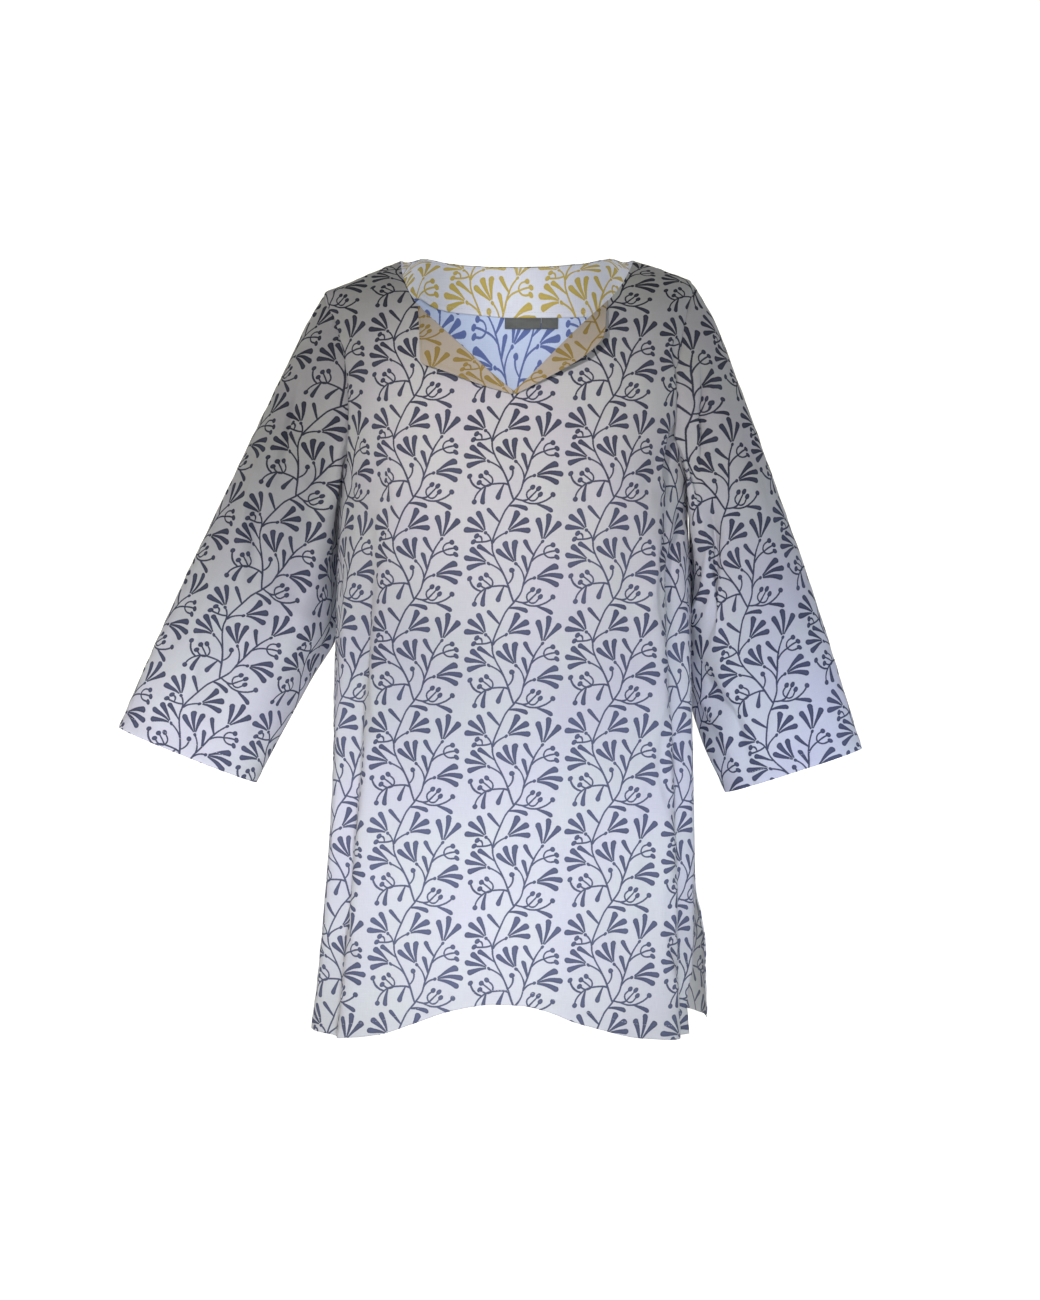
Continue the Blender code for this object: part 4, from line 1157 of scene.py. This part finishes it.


# The printed sprig, charted in millimetres of one block.
sprigForm = {
    "cell": (97.0, 98.0),
    "stemRadius": 0.88,
    "berryRadius": 2.5,
    "leafThin": 0.75,
    "leafThick": 2.8,
    "stems": (  # points along each
        ((50, 4), (45, 17), (36, 36), (29.5, 57), (31, 76), (38.5, 91), (50, 102), (56, 112)),
        ((31, -22), (38.5, -7), (50, 4), (56, 14), (57.5, 26), (62, 39), (69, 52), (77, 63)),
        ((37, 33), (32, 39), (24, 42)),
        ((57.5, 25), (55, 34), (50, 41)),
        ((57.2, 21), (61, 27), (67, 29.5)),
        ((29.5, 58), (27, 66), (21, 71)),
        ((30, 63), (34, 69), (41, 72)),
        ((51, 5.5), (58, 4.5), (64, 7)),
        ((57, 4.5), (71, 2.5), (81, 4), (87, 9)),
        ((44, 19), (35, 22), (25, 19.5), (16, 12), (12, 4)),
        ((65.5, 45.5), (71.5, 49.5), (79, 51)),
        ((27, 65), (20, 62), (11, 63)),
        ((19, 62), (13, 68)),
        ((18.5, 14.5), (10.5, 19), (5, 28)),
        ((42.5, 22), (46, 28), (45.5, 34.5)),
    ),
    "fans": (  # apex, direction, length, spread
        (24, 42, 162, 21, 27), (50, 41, 112, 22, 24), (67, 29.5, 3, 25, 22),
        (21, 71, 138, 21, 28), (41, 72, 34, 22, 26), (77, 63, 80, 24, 27),
    ),
    "trios": (  # root, direction, size
        (64, 7, 46, 13), (27, 20.5, 150, 13), (79, 51, 16, 13),
    ),
    "leaves": (  # root, direction, length
        (39, 21, 252, 13), (30, 50, 150, 15), (60, 34, 96, 14), (69, 51, 124, 15),
        (33.5, 83, 130, 13), (45, 97, -5, 15), (45, -1, -5, 15),
        (22, 17, 262, 15), (22, 115, 262, 15), (71, 2.5, -32, 15), (71, 100.5, -32, 15),
    ),
    "berries": ((12, 3), (87.5, 9.5), (11, 63), (13, 68), (5, 28.5), (45.5, 35)),
    "gap": 3.3,
    "overlap": 1.5,
    "hubRadius": 1.7,
    "sideLeaf": 0.92,
    "singleLeaf": 0.87,
    "trioBow": 0.44,
    "trioStop": 0.78,
    "trioBerries": 0.80,
    "edge": 0.28,
    "blockLoad": (0.18, 0.66),
    "patchLoad": 0.34,
    "raggedness": 0.55,
    "hollow": 0.35,
}


def stemPieces():  # each stem as smoothly joined pieces: place, turn, length and the slopes at its ends
    pieces = []
    height = sprigForm["cell"][1]
    for stem in sprigForm["stems"]:
        points = np.array(stem, dtype=float)
        turns = np.empty_like(points)
        turns[1:-1] = points[2:] - points[:-2]
        for end, near in ((0, 1), (-1, -2)):
            chord = points[near] - points[end]
            turns[end] = 2.0 * turns[near] @ chord / (chord @ chord) * chord - turns[near]
        headings = np.arctan2(turns[:, 1], turns[:, 0])
        for (fromX, fromY), (toX, toY), start, end in zip(points, points[1:], headings, headings[1:]):
            if max(fromY, toY) < -sprigForm["overlap"] or min(fromY, toY) > height + sprigForm["overlap"]:
                continue
            turn = math.atan2(toY - fromY, toX - fromX)
            pieces.append((fromX, fromY, turn, math.hypot(toX - fromX, toY - fromY),
                           math.tan(start - turn), math.tan(end - turn)))
    return pieces


def buildSprigGroup():  # cloth place in metres to ink, 0 to 1
    tree, given, result = newGroup("sprigPrint", "ShaderNodeTree", (
        ("Place", "Vector"), ("Scale", "Float", 1.0), ("Shift Across", "Float", 0.0),
        ("Shift Up", "Float", 0.0), ("Column Drift", "Float", 6.0)), (("Ink", "Float"), ("Density", "Float")))
    cellWidth, cellHeight = sprigForm["cell"]
    parts = addNode(tree, "ShaderNodeSeparateXYZ", {0: given["Place"]}).outputs
    perCell = calc(tree, "DIVIDE", 1000.0 / cellWidth, given["Scale"])
    across = calc(tree, "MULTIPLY_ADD", parts[0], perCell, given["Shift Across"])
    columnIndex = calc(tree, "FLOOR", across)
    chance = addNode(tree, "ShaderNodeTexWhiteNoise", {"W": columnIndex}, noise_dimensions="1D")
    drift = calc(tree, "SUBTRACT", chance.outputs["Value"], 0.5)
    drift = calc(tree, "MULTIPLY", drift, given["Column Drift"])
    up = calc(tree, "MULTIPLY", parts[1], perCell)
    up = calc(tree, "MULTIPLY_ADD", up, cellWidth / cellHeight, given["Shift Up"])
    up = calc(tree, "MULTIPLY_ADD", drift, 1.0 / cellHeight, up)
    rowIndex = calc(tree, "FLOOR", up)
    x = calc(tree, "MULTIPLY", calc(tree, "SUBTRACT", across, columnIndex), cellWidth)
    y = calc(tree, "MULTIPLY", calc(tree, "SUBTRACT", up, rowIndex), cellHeight)
    bend = calc(tree, "SINE", calc(tree, "MULTIPLY_ADD", y, 4.0 * math.pi / cellHeight, 0.6))
    other = calc(tree, "SINE", calc(tree, "MULTIPLY_ADD", x, 6.0 * math.pi / cellWidth, 1.3))
    x = calc(tree, "MULTIPLY_ADD", bend, 1.5, x)
    y = calc(tree, "MULTIPLY_ADD", other, 1.1, y)

    nearest = None
    for fromX, fromY, turn, length, startSlope, endSlope in stemPieces():
        acrossStem, alongStem = frameOf(tree, x, y, fromX, fromY, math.degrees(turn))
        share = calc(tree, "MULTIPLY", alongStem, 1.0 / length, clamp=True)
        middle = calc(tree, "SUBTRACT", share, calc(tree, "MULTIPLY", share, share))
        slope = calc(tree, "MULTIPLY_ADD", share, (startSlope + endSlope) * length, -startSlope * length)
        acrossStem = calc(tree, "MULTIPLY_ADD", middle, slope, acrossStem)
        rest = calc(tree, "MULTIPLY_ADD", share, -length, alongStem)
        nearest = nearer(tree, nearest, squares(tree, acrossStem, rest))
    nearest = calc(tree, "SUBTRACT", calc(tree, "SQRT", nearest), sprigForm["stemRadius"])

    thin = sprigForm["leafThin"]
    thick = sprigForm["leafThick"]
    gap = sprigForm["gap"]
    for apexX, apexY, turn, length, spread in sprigForm["fans"]:
        acrossFan, alongFan = frameOf(tree, x, y, apexX, apexY, turn)
        nearest = nearer(tree, nearest, dotOf(tree, acrossFan, alongFan, sprigForm["hubRadius"]))
        middle = calc(tree, "SUBTRACT", alongFan, gap)
        nearest = nearer(tree, nearest, strokeOf(tree, acrossFan, middle, length - gap, thin, thick))
        folded = calc(tree, "ABSOLUTE", acrossFan)
        c = math.cos(math.radians(spread))
        s = math.sin(math.radians(spread))
        along = calc(tree, "MULTIPLY_ADD", folded, s, -gap)
        along = calc(tree, "MULTIPLY_ADD", alongFan, c, along)
        side = calc(tree, "MULTIPLY", alongFan, -s)
        side = calc(tree, "MULTIPLY_ADD", folded, c, side)
        sideLength = sprigForm["sideLeaf"] * length - gap
        nearest = nearer(tree, nearest, strokeOf(tree, side, along, sideLength, thin, thick))

    for rootX, rootY, turn, size in sprigForm["trios"]:
        acrossTrio, alongTrio = frameOf(tree, x, y, rootX, rootY, turn)
        folded = calc(tree, "ABSOLUTE", acrossTrio)
        bow = sprigForm["trioBow"] * size
        low = calc(tree, "MINIMUM", calc(tree, "SUBTRACT", alongTrio, bow), 0.0)
        arc = calc(tree, "SQRT", squares(tree, acrossTrio, low))
        arc = calc(tree, "ABSOLUTE", calc(tree, "SUBTRACT", arc, bow))
        stop = calc(tree, "SUBTRACT", alongTrio, sprigForm["trioStop"] * size)
        stop = calc(tree, "MAXIMUM", stop, 0.0)
        arc = calc(tree, "MULTIPLY_ADD", stop, 8.0, arc)
        stalk = calc(tree, "ABSOLUTE", calc(tree, "SUBTRACT", alongTrio, 0.5 * size))
        stalk = calc(tree, "MAXIMUM", folded, calc(tree, "SUBTRACT", stalk, 0.5 * size))
        stalk = calc(tree, "SUBTRACT", calc(tree, "MINIMUM", arc, stalk), sprigForm["stemRadius"] * 0.95)
        nearest = nearer(tree, nearest, stalk)
        end = calc(tree, "SUBTRACT", alongTrio, sprigForm["trioBerries"] * size)
        edge = calc(tree, "SUBTRACT", folded, bow)
        nearest = nearer(tree, nearest, dotOf(tree, edge, end, sprigForm["berryRadius"]))
        end = calc(tree, "SUBTRACT", alongTrio, size)
        nearest = nearer(tree, nearest, dotOf(tree, acrossTrio, end, sprigForm["berryRadius"]))

    for rootX, rootY, turn, length in sprigForm["leaves"]:
        acrossLeaf, alongLeaf = frameOf(tree, x, y, rootX, rootY, turn)
        leafEnd = sprigForm["singleLeaf"] * thick
        nearest = nearer(tree, nearest, strokeOf(tree, acrossLeaf, alongLeaf, length, thin, leafEnd))
    for berryX, berryY in sprigForm["berries"]:
        edge = calc(tree, "SUBTRACT", x, berryX)
        end = calc(tree, "SUBTRACT", y, berryY)
        nearest = nearer(tree, nearest, dotOf(tree, edge, end, sprigForm["berryRadius"]))

    spot = addNode(tree, "ShaderNodeCombineXYZ", {0: x, 1: y}).outputs[0]
    ragged = sprigForm["raggedness"]
    ragged = calc(tree, "MULTIPLY_ADD", noiseOf(tree, spot, Scale=0.8, Detail=1.0), ragged, -0.5 * ragged)
    nearest = calc(tree, "ADD", nearest, ragged)
    ink = addNode(tree, "ShaderNodeMapRange", {
        "Value": nearest, "From Min": sprigForm["edge"], "From Max": -sprigForm["edge"]},
        interpolation_type="SMOOTHSTEP")
    block = addNode(tree, "ShaderNodeCombineXYZ", {0: columnIndex, 1: rowIndex}).outputs[0]
    loaded = addNode(tree, "ShaderNodeTexWhiteNoise", {"Vector": block}, noise_dimensions="2D")
    density = calc(tree, "MULTIPLY_ADD", loaded.outputs["Value"], *sprigForm["blockLoad"])
    patches = noiseOf(tree, given["Place"], Scale=42.0, Detail=2.0)
    density = calc(tree, "MULTIPLY_ADD", patches, sprigForm["patchLoad"], density)
    inside = calc(tree, "MULTIPLY", nearest, -1.0 / thick, clamp=True)
    density = calc(tree, "MULTIPLY_ADD", inside, -sprigForm["hollow"], density, clamp=True)
    tree.links.new(ink.outputs["Result"], result["Ink"])
    tree.links.new(density, result["Density"])
    return tree


def buildClothGroup():  # the weave's and the crumples' height, and a faint unevenness of colour
    tree, given, result = newGroup("cottonWeave", "ShaderNodeTree", (
        ("Place", "Vector"), ("Thread", "Float", 0.00042), ("Weave", "Float", 0.2),
        ("Crumple", "Float", 1.0)),
        (("Height", "Float"), ("Slub", "Float"), ("Blotch", "Float")))
    place = given["Place"]
    parts = addNode(tree, "ShaderNodeSeparateXYZ", {0: place}).outputs
    perThread = calc(tree, "DIVIDE", 2.0 * math.pi, given["Thread"])
    warp, weft = (calc(tree, "SINE", calc(tree, "MULTIPLY", parts[way], perThread)) for way in (0, 1))
    slubs = []
    for scale in ((1500.0, 90.0, 1.0), (90.0, 1300.0, 1.0)):
        stretch = addNode(tree, "ShaderNodeVectorMath", {0: place, 1: scale}, operation="MULTIPLY")
        slubs.append(noiseOf(tree, stretch.outputs[0], Scale=1.0, Detail=1.0))
    slub = calc(tree, "MULTIPLY", calc(tree, "ADD", *slubs), 0.5)
    crumples = noiseOf(tree, place, Scale=95.0, Detail=3.0, Roughness=0.55, Distortion=0.6)
    height = calc(tree, "MULTIPLY", calc(tree, "MULTIPLY", warp, weft), given["Weave"])
    height = calc(tree, "MULTIPLY_ADD", slub, 0.35, height)
    height = calc(tree, "ADD", height, calc(tree, "MULTIPLY", crumples, given["Crumple"]))
    tree.links.new(height, result["Height"])
    tree.links.new(slub, result["Slub"])
    tree.links.new(noiseOf(tree, place, Scale=13.0, Detail=2.0), result["Blotch"])
    return tree


def newMaterial(name):
    material = bpy.data.materials.new(name)
    material.use_nodes = True
    return material, material.node_tree, material.node_tree.nodes["Principled BSDF"]


def blend(tree, fac, first, second):
    node = tree.nodes.new("ShaderNodeMix")
    node.data_type = "RGBA"
    for value, socket in ((fac, node.inputs[0]), (first, node.inputs[6]), (second, node.inputs[7])):
        if isinstance(value, tuple):
            socket.default_value = (*value, 1.0)
        else:
            plug(tree, value, socket)
    return node.outputs[2]


def spread(tree, value, low, high):
    node = addNode(tree, "ShaderNodeMapRange", {"Value": value, "From Min": low, "From Max": high})
    return node.outputs["Result"]


def finishCloth(tree, shader, colour, rough, height, strength, distance):
    bump = addNode(tree, "ShaderNodeBump", {"Height": height, "Strength": strength, "Distance": distance})
    for value, socket in ((colour, "Base Color"), (rough, "Roughness"), (bump.outputs["Normal"], "Normal")):
        tree.links.new(value, shader.inputs[socket])


def printedCloth(name, colours):
    material, tree, shader = newMaterial(name)
    place = addNode(tree, "ShaderNodeUVMap", uv_map="cloth").outputs[0]
    sprig = addNode(tree, "ShaderNodeGroup", node_tree=sprigGroup)
    cloth = addNode(tree, "ShaderNodeGroup", node_tree=clothGroup)
    for node, sockets in ((sprig, (("scale", "Scale"), ("shiftAcross", "Shift Across"),
                                   ("shiftUp", "Shift Up"), ("drift", "Column Drift"))),
                          (cloth, (("weave", "Weave"), ("crumple", "Crumple")))):
        tree.links.new(place, node.inputs["Place"])
        for key, socket in sockets:
            node.inputs[socket].default_value = colours[key]
    under, paintedInkLight = (addNode(tree, "ShaderNodeAttribute", attribute_name=key).outputs["Fac"]
                    for key in ("underside", "paintedInkLight"))
    # painted light: the inside of the cloth is painted a brighter blue near its top, for light glowing through
    # it; from -0.2 to -0.25 m on the cloth map it turns to its own grey
    low = spread(tree, addNode(tree, "ShaderNodeSeparateXYZ", {0: place}).outputs[1], -0.2, -0.25)
    insideGroundAndPaintedGlow = blend(tree, low, colours["insideGroundAndPaintedGlow"], colours["underLow"])
    insideInkAndPaintedGlow = blend(tree, low, colours["insideInkAndPaintedGlow"], colours["underLowInk"])
    blotch = spread(tree, cloth.outputs["Blotch"], 0.38, 0.62)
    ground = blend(tree, under, blend(tree, blotch, colours["ground"], colours["tint"]), insideGroundAndPaintedGlow)
    # painted light: lower down the cloth the ink is pulled towards the paler, bluer thin ink, standing for the
    # brighter light there; the rest of the density is the print's own
    density = calc(tree, "MULTIPLY_ADD", paintedInkLight, -colours["fade"], sprig.outputs["Density"], clamp=True)
    ink = blend(tree, under, blend(tree, density, colours["thinInk"], colours["ink"]), insideInkAndPaintedGlow)
    colour = blend(tree, sprig.outputs["Ink"], ground, ink)
    slub = cloth.outputs["Slub"]
    shaded = addNode(tree, "ShaderNodeVectorMath", {
        0: colour, "Scale": calc(tree, "MULTIPLY_ADD", slub, 0.22, 0.89)}, operation="SCALE")
    finishCloth(tree, shader, shaded.outputs[0], calc(tree, "MULTIPLY_ADD", slub, 0.12, 0.8),
                cloth.outputs["Height"], colours["bump"], 0.0011)
    shader.inputs["Specular IOR Level"].default_value = 0.25
    return material


def plainCloth(name, ground, tint, thread, bumpStrength):
    material, tree, shader = newMaterial(name)
    place = tree.nodes.new("ShaderNodeTexCoord").outputs["Object"]
    cloth = addNode(tree, "ShaderNodeGroup", node_tree=clothGroup)
    for key, value in (("Place", place), ("Thread", thread), ("Weave", 0.8), ("Crumple", 0.3)):
        plug(tree, value, cloth.inputs[key])
    colour = blend(tree, spread(tree, cloth.outputs["Slub"], 0.35, 0.65), ground, tint)
    rough = calc(tree, "MULTIPLY_ADD", cloth.outputs["Blotch"], 0.2, 0.55)
    finishCloth(tree, shader, colour, rough, cloth.outputs["Height"], bumpStrength, 0.0006)
    return material

clothColours = {
    "scale": 1.0, "shiftAcross": 0.5, "shiftUp": 0.15, "drift": 6.0,
    "ground": (0.69, 0.68, 0.74), "tint": (0.70, 0.71, 0.72),
    "ink": (0.034, 0.035, 0.055), "thinInk": (0.135, 0.15, 0.245),
    # the inside's upper ground and ink here are a painted blue glow; the lower ones are the inside's own
    # colours
    "insideGroundAndPaintedGlow": (0.72, 0.80, 0.97), "insideInkAndPaintedGlow": (0.15, 0.20, 0.44),
    "underLow": (0.68, 0.69, 0.70), "underLowInk": (0.16, 0.17, 0.24),
    # fade and its heights set the painted light that pales the ink lower down the cloth
    "fade": 0.55, "paintedInkLightHeights": (-40.0, 480.0),
    "weave": 0.25, "crumple": 1.2, "bump": 0.55,
}
facingColours = {
    "scale": 1.0, "shiftAcross": 0.75, "shiftUp": 0.85, "drift": 0.0,
    "ground": (0.86, 0.84, 0.87), "tint": (0.88, 0.87, 0.86),
    "ink": (0.62, 0.445, 0.085), "thinInk": (0.72, 0.58, 0.21),
    "insideGroundAndPaintedGlow": (0.84, 0.83, 0.84), "insideInkAndPaintedGlow": (0.74, 0.64, 0.40),
    "underLow": (0.84, 0.83, 0.84), "underLowInk": (0.74, 0.64, 0.40),
    "fade": 0.0,
    "weave": 0.25, "crumple": 1.0, "bump": 0.5,
}
# painted shade: the lapels are the facing's own cloth, given darker ground and ink for the shade they lie in;
# their print shifts are their own
lapelColoursPaintedShade = dict(facingColours, ground=(0.54, 0.48, 0.41), tint=(0.56, 0.50, 0.43),
                    ink=(0.34, 0.235, 0.055), thinInk=(0.42, 0.33, 0.13),
                    shiftAcross=0.62, shiftUp=0.2)

sprigGroup = buildSprigGroup()
clothGroup = buildClothGroup()
stitchTree = buildStitchTree()
printCloth = printedCloth("navy_sprig_cotton", clothColours)
facingCloth = printedCloth("ochre_sprig_cotton", facingColours)
lapelPaintedShadeLook = printedCloth("ochre_sprig_lapel_painted_shade", lapelColoursPaintedShade)
tapeLook = plainCloth("woven_label_tape", (0.115, 0.115, 0.10), (0.155, 0.155, 0.135), 0.0006, 0.5)
paleThread = plainCloth("pale_thread", (0.62, 0.61, 0.64), (0.74, 0.73, 0.76), 0.0003, 0.3)
darkThread = plainCloth("ochre_thread", (0.52, 0.42, 0.20), (0.62, 0.52, 0.28), 0.0003, 0.3)
print("looks built,", len(sprigGroup.nodes), "nodes in the sprig")

# the pieces
clothTables = {panel: clothTable(panel) for panel in panels}
made = []


def keep(piece, material, node=None, slot=None):
    piece.data.materials.clear()
    piece.data.materials.append(material)
    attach(piece, "root")
    if node:
        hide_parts(node)
    made.append(piece)
    return piece


bodyEdges = {}
for panel in panels:
    piece, bodyEdges[panel] = bodyCloth(panel + "_cloth", panel, seeds[panel])
    keep(piece, printCloth, panel + "_panel", "print_cloth")
print("front and back made")

cuffLines = {}
for side in signs:
    piece, outer, normals, cuffDown = sleeveCloth("sleeve_" + side + "_cloth", side, seeds[side])
    keep(piece, printCloth, "sleeve_" + side, "print_cloth")
    row = int(np.argmin(np.abs(cuffDown.mean(axis=1) - hems["stitchLine"])))
    line = outer[row] + stitchForm["lift"] * normals[row]
    cuffLines[side] = np.concatenate((line, line[:1]))
print("sleeves made")

lapelLines = {}
for side in signs:
    piece, over, rise = lapelCloth("lapel_" + side + "_cloth", side)
    keep(piece, lapelPaintedShadeLook, "lapel_" + side, "facing_cloth")
    lift = unit(rise) * stitchForm["lift"]
    widths = np.linalg.norm(over[-1] - over[0], axis=1)
    wide = widths > lapelForm["stitchFrom"]
    share = 1.0 - lapelForm["stitchInset"] / np.maximum(widths, lapelForm["stitchFrom"])
    place = (share ** (1.0 / lapelForm["stepSpread"]) * (len(over) - 1)).astype(int)
    spots = np.arange(over.shape[1])[wide]
    lapelLines[side] = over[place[wide], spots] + lift[place[wide], spots]
backFacing, facingSeen, facingOut = backFacingCloth("facing_back_cloth")
keep(backFacing, facingCloth, "facing_back", "facing_cloth")
frontFacing = keep(frontFacingCloth("facing_front_cloth")[0], facingCloth, "facing_front", "facing_cloth")
labelPieces = [keep(labelTape(label)[0], tapeLook, label, "label_cloth")
               for label in ("label_main", "label_size")]
print("facings and labels made")


# stitching
def hemLine(panel, edges, seed):
    sizes = panels[panel]
    lines = []
    stations = panelRows(panel)
    for side, sign in signs.items():
        angle, height = halfGrid(panel, side, stations)
        hemAngle, hemHeight = angle[-1], height[-1] + hems["stitchLine"]
        vent = (stations > sizes["side"][0][0]) & (height[:, -1] < vents["top"] - 2.0)
        inwards = sign * np.degrees(hems["stitchLine"] / vents["radius"])
        ventAngle = angle[vent, -1] + (inwards if sizes["behind"] else -inwards)
        ventHeight = height[vent, -1]
        limit = abs(ventAngle[-1])
        keepHem = np.abs(hemAngle) > limit if sizes["behind"] else np.abs(hemAngle) < limit
        lines.append(surfaceLine(panel, hemAngle[keepHem], hemHeight[keepHem], edges, seed))
        ventKeep = ventHeight > hemHeight[keepHem][-1]
        lines.append(surfaceLine(panel, ventAngle[ventKeep], ventHeight[ventKeep], edges, seed))
    return lines

for panel in panels:
    lines = hemLine(panel, bodyEdges[panel], seeds[panel])
    sewStitches(panel + "_stitches", lines, paleThread)
sleeveStitches = {side: sewStitches("sleeve_" + side + "_stitches", [cuffLines[side]], paleThread)
                  for side in signs}
lapelStitches = {side: sewStitches("lapel_" + side + "_stitches", [lapelLines[side]], darkThread)
                 for side in signs}
facingRow = int(facingForm["stitchShare"] * (facingSeen.shape[0] - 1))
facingLines = [facingSeen[row] + stitchForm["lift"] * facingOut[row]
               for row in (facingRow, facingForm["topStitchRow"])]
facingStitches = sewStitches("facing_stitches", facingLines, paleThread)
print("stitches sewn")

# floor, light and camera
stageForm = {"floor": -1.38, "half": 14.0, "colour": (0.92, 0.92, 0.93), "glow": 1.0, "bounce": 0.1}
airForm = {"colour": (1.0, 0.99, 0.90, 1.0), "light": 0.31, "seen": 1.2}


def seenStrength(tree, socket, light, seen):  # one strength as light, another for what the camera sees
    path = tree.nodes.new("ShaderNodeLightPath")
    strength = addNode(tree, "ShaderNodeMapRange", {
        "Value": path.outputs["Is Camera Ray"], "To Min": light, "To Max": seen})
    tree.links.new(strength.outputs["Result"], socket)

floorMesh = bpy.data.meshes.new("floor")
half = stageForm["half"]
corners = [(x * half, y * half, stageForm["floor"]) for x, y in ((-1, -1), (1, -1), (1, 1), (-1, 1))]
floorMesh.from_pydata(corners, [], [(0, 1, 2, 3)])
floorPiece = addObject("floor", floorMesh)
floorLook, floorTree, floorShader = newMaterial("pale_floor")
floorShader.inputs["Base Color"].default_value = (*stageForm["colour"], 1.0)
floorShader.inputs["Roughness"].default_value = 0.9
floorShader.inputs["Emission Color"].default_value = (1.0, 1.0, 1.0, 1.0)
seenStrength(floorTree, floorShader.inputs["Emission Strength"], stageForm["bounce"], stageForm["glow"])
floorMesh.materials.append(floorLook)

world = bpy.data.worlds.new("studio")
bpy.context.scene.world = world
world.use_nodes = True
air = world.node_tree
backdrop = air.nodes["Background"]
backdrop.inputs["Color"].default_value = airForm["colour"]
seenStrength(air, backdrop.inputs["Strength"], airForm["light"], airForm["seen"])

lampForm = {
    "left_side": {"at": (-1.7, -0.45, -0.75), "to": (-0.25, 0.0, -0.5), "size": (0.8, 1.0),
                  "power": 4.4, "colour": (1.0, 0.95, 0.88)},
    "right_side": {"at": (1.7, -0.45, -0.75), "to": (0.25, 0.0, -0.5), "size": (0.8, 1.0),
                   "power": 3.0, "colour": (0.45, 0.62, 1.0)},
    "behind": {"at": (0.3, 2.4, 0.2), "to": (0.0, 0.0, -0.4), "size": (2.2, 1.4),
               "power": 20.0, "colour": (0.95, 0.97, 1.0)},
}
spotForm = {
    "low_key": {"at": (0.05, -2.2, -1.1), "to": (0.0, -0.1, -0.69), "power": 161.0, "reach": 0.36,
                "soft": 0.2, "colour": (0.89, 0.93, 1.0)},
    "mid_key": {"at": (0.0, -2.2, -0.5), "to": (0.0, -0.1, -0.48), "power": 106.0, "reach": 0.26,
                "soft": 0.2, "colour": (0.71, 0.77, 1.0)},
    "chest_key": {"at": (-0.55, -1.85, 0.5), "to": (0.01, -0.1, -0.21), "power": 102.0, "reach": 0.23,
                  "soft": 0.05, "colour": (0.94, 0.87, 0.87)},
    "hem_key": {"at": (-0.8, -2.0, -1.1), "to": (-0.15, -0.1, -0.72), "power": 53.0, "reach": 0.2,
                "soft": 0.2, "colour": (0.76, 0.78, 1.0)},
    "right_cuff": {"at": (-0.7, -1.7, -1.2), "to": (-0.36, 0.0, -0.48), "power": 143.0, "reach": 0.24,
                   "soft": 0.15, "colour": (0.83, 0.85, 1.0)},
    "left_cuff": {"at": (0.7, -1.7, -1.2), "to": (0.34, 0.0, -0.48), "power": 126.0, "reach": 0.24,
                  "soft": 0.15, "colour": (0.58, 0.67, 1.0)},
}
insideLamp = {"at": (0.0, 0.0, -0.06), "power": 0.31, "soft": 0.05, "colour": (0.85, 0.90, 1.0)}


def hangLamp(name, kind, sizes):
    light = bpy.data.lights.new(name, kind)
    light.energy = sizes["power"]
    light.color = sizes["colour"]
    holder = addObject(name, light)
    holder.location = sizes["at"]
    if "to" in sizes:
        aim = Vector(sizes["to"]) - Vector(sizes["at"])
        holder.rotation_euler = aim.to_track_quat("-Z", "Y").to_euler()
    return light


for name, lamp in lampForm.items():
    light = hangLamp(name, "AREA", lamp)
    light.shape = "RECTANGLE"
    light.size, light.size_y = lamp["size"]
for name, lamp in spotForm.items():
    light = hangLamp(name, "SPOT", lamp)
    light.spot_size = 2.0 * math.atan(lamp["reach"] / (Vector(lamp["to"]) - Vector(lamp["at"])).length)
    light.spot_blend = 1.0
    light.shadow_soft_size = lamp["soft"]
light = hangLamp("inside", "POINT", insideLamp)
light.shadow_soft_size = insideLamp["soft"]

cameraForm = {"at": (0.006, -3.0, -0.27), "tilt": 2.2525, "lens": 83.08}
lens = bpy.data.cameras.new("camera")
lens.lens = cameraForm["lens"]
lens.sensor_fit = "VERTICAL"
lens.sensor_height = 36.0
lens.sensor_width = 36.0
camera = addObject("camera", lens)
camera.location = cameraForm["at"]
camera.rotation_euler = (math.radians(90.0 - cameraForm["tilt"]), 0.0, 0.0)
bpy.context.scene.camera = camera
bpy.context.scene.view_settings.view_transform = "Standard"
bpy.context.scene.view_settings.look = "None"

total = 0
for piece in made:
    count = sum(len(face.vertices) - 2 for face in piece.data.polygons)
    total = total + count
    print(piece.name, count)
print("triangles", total)
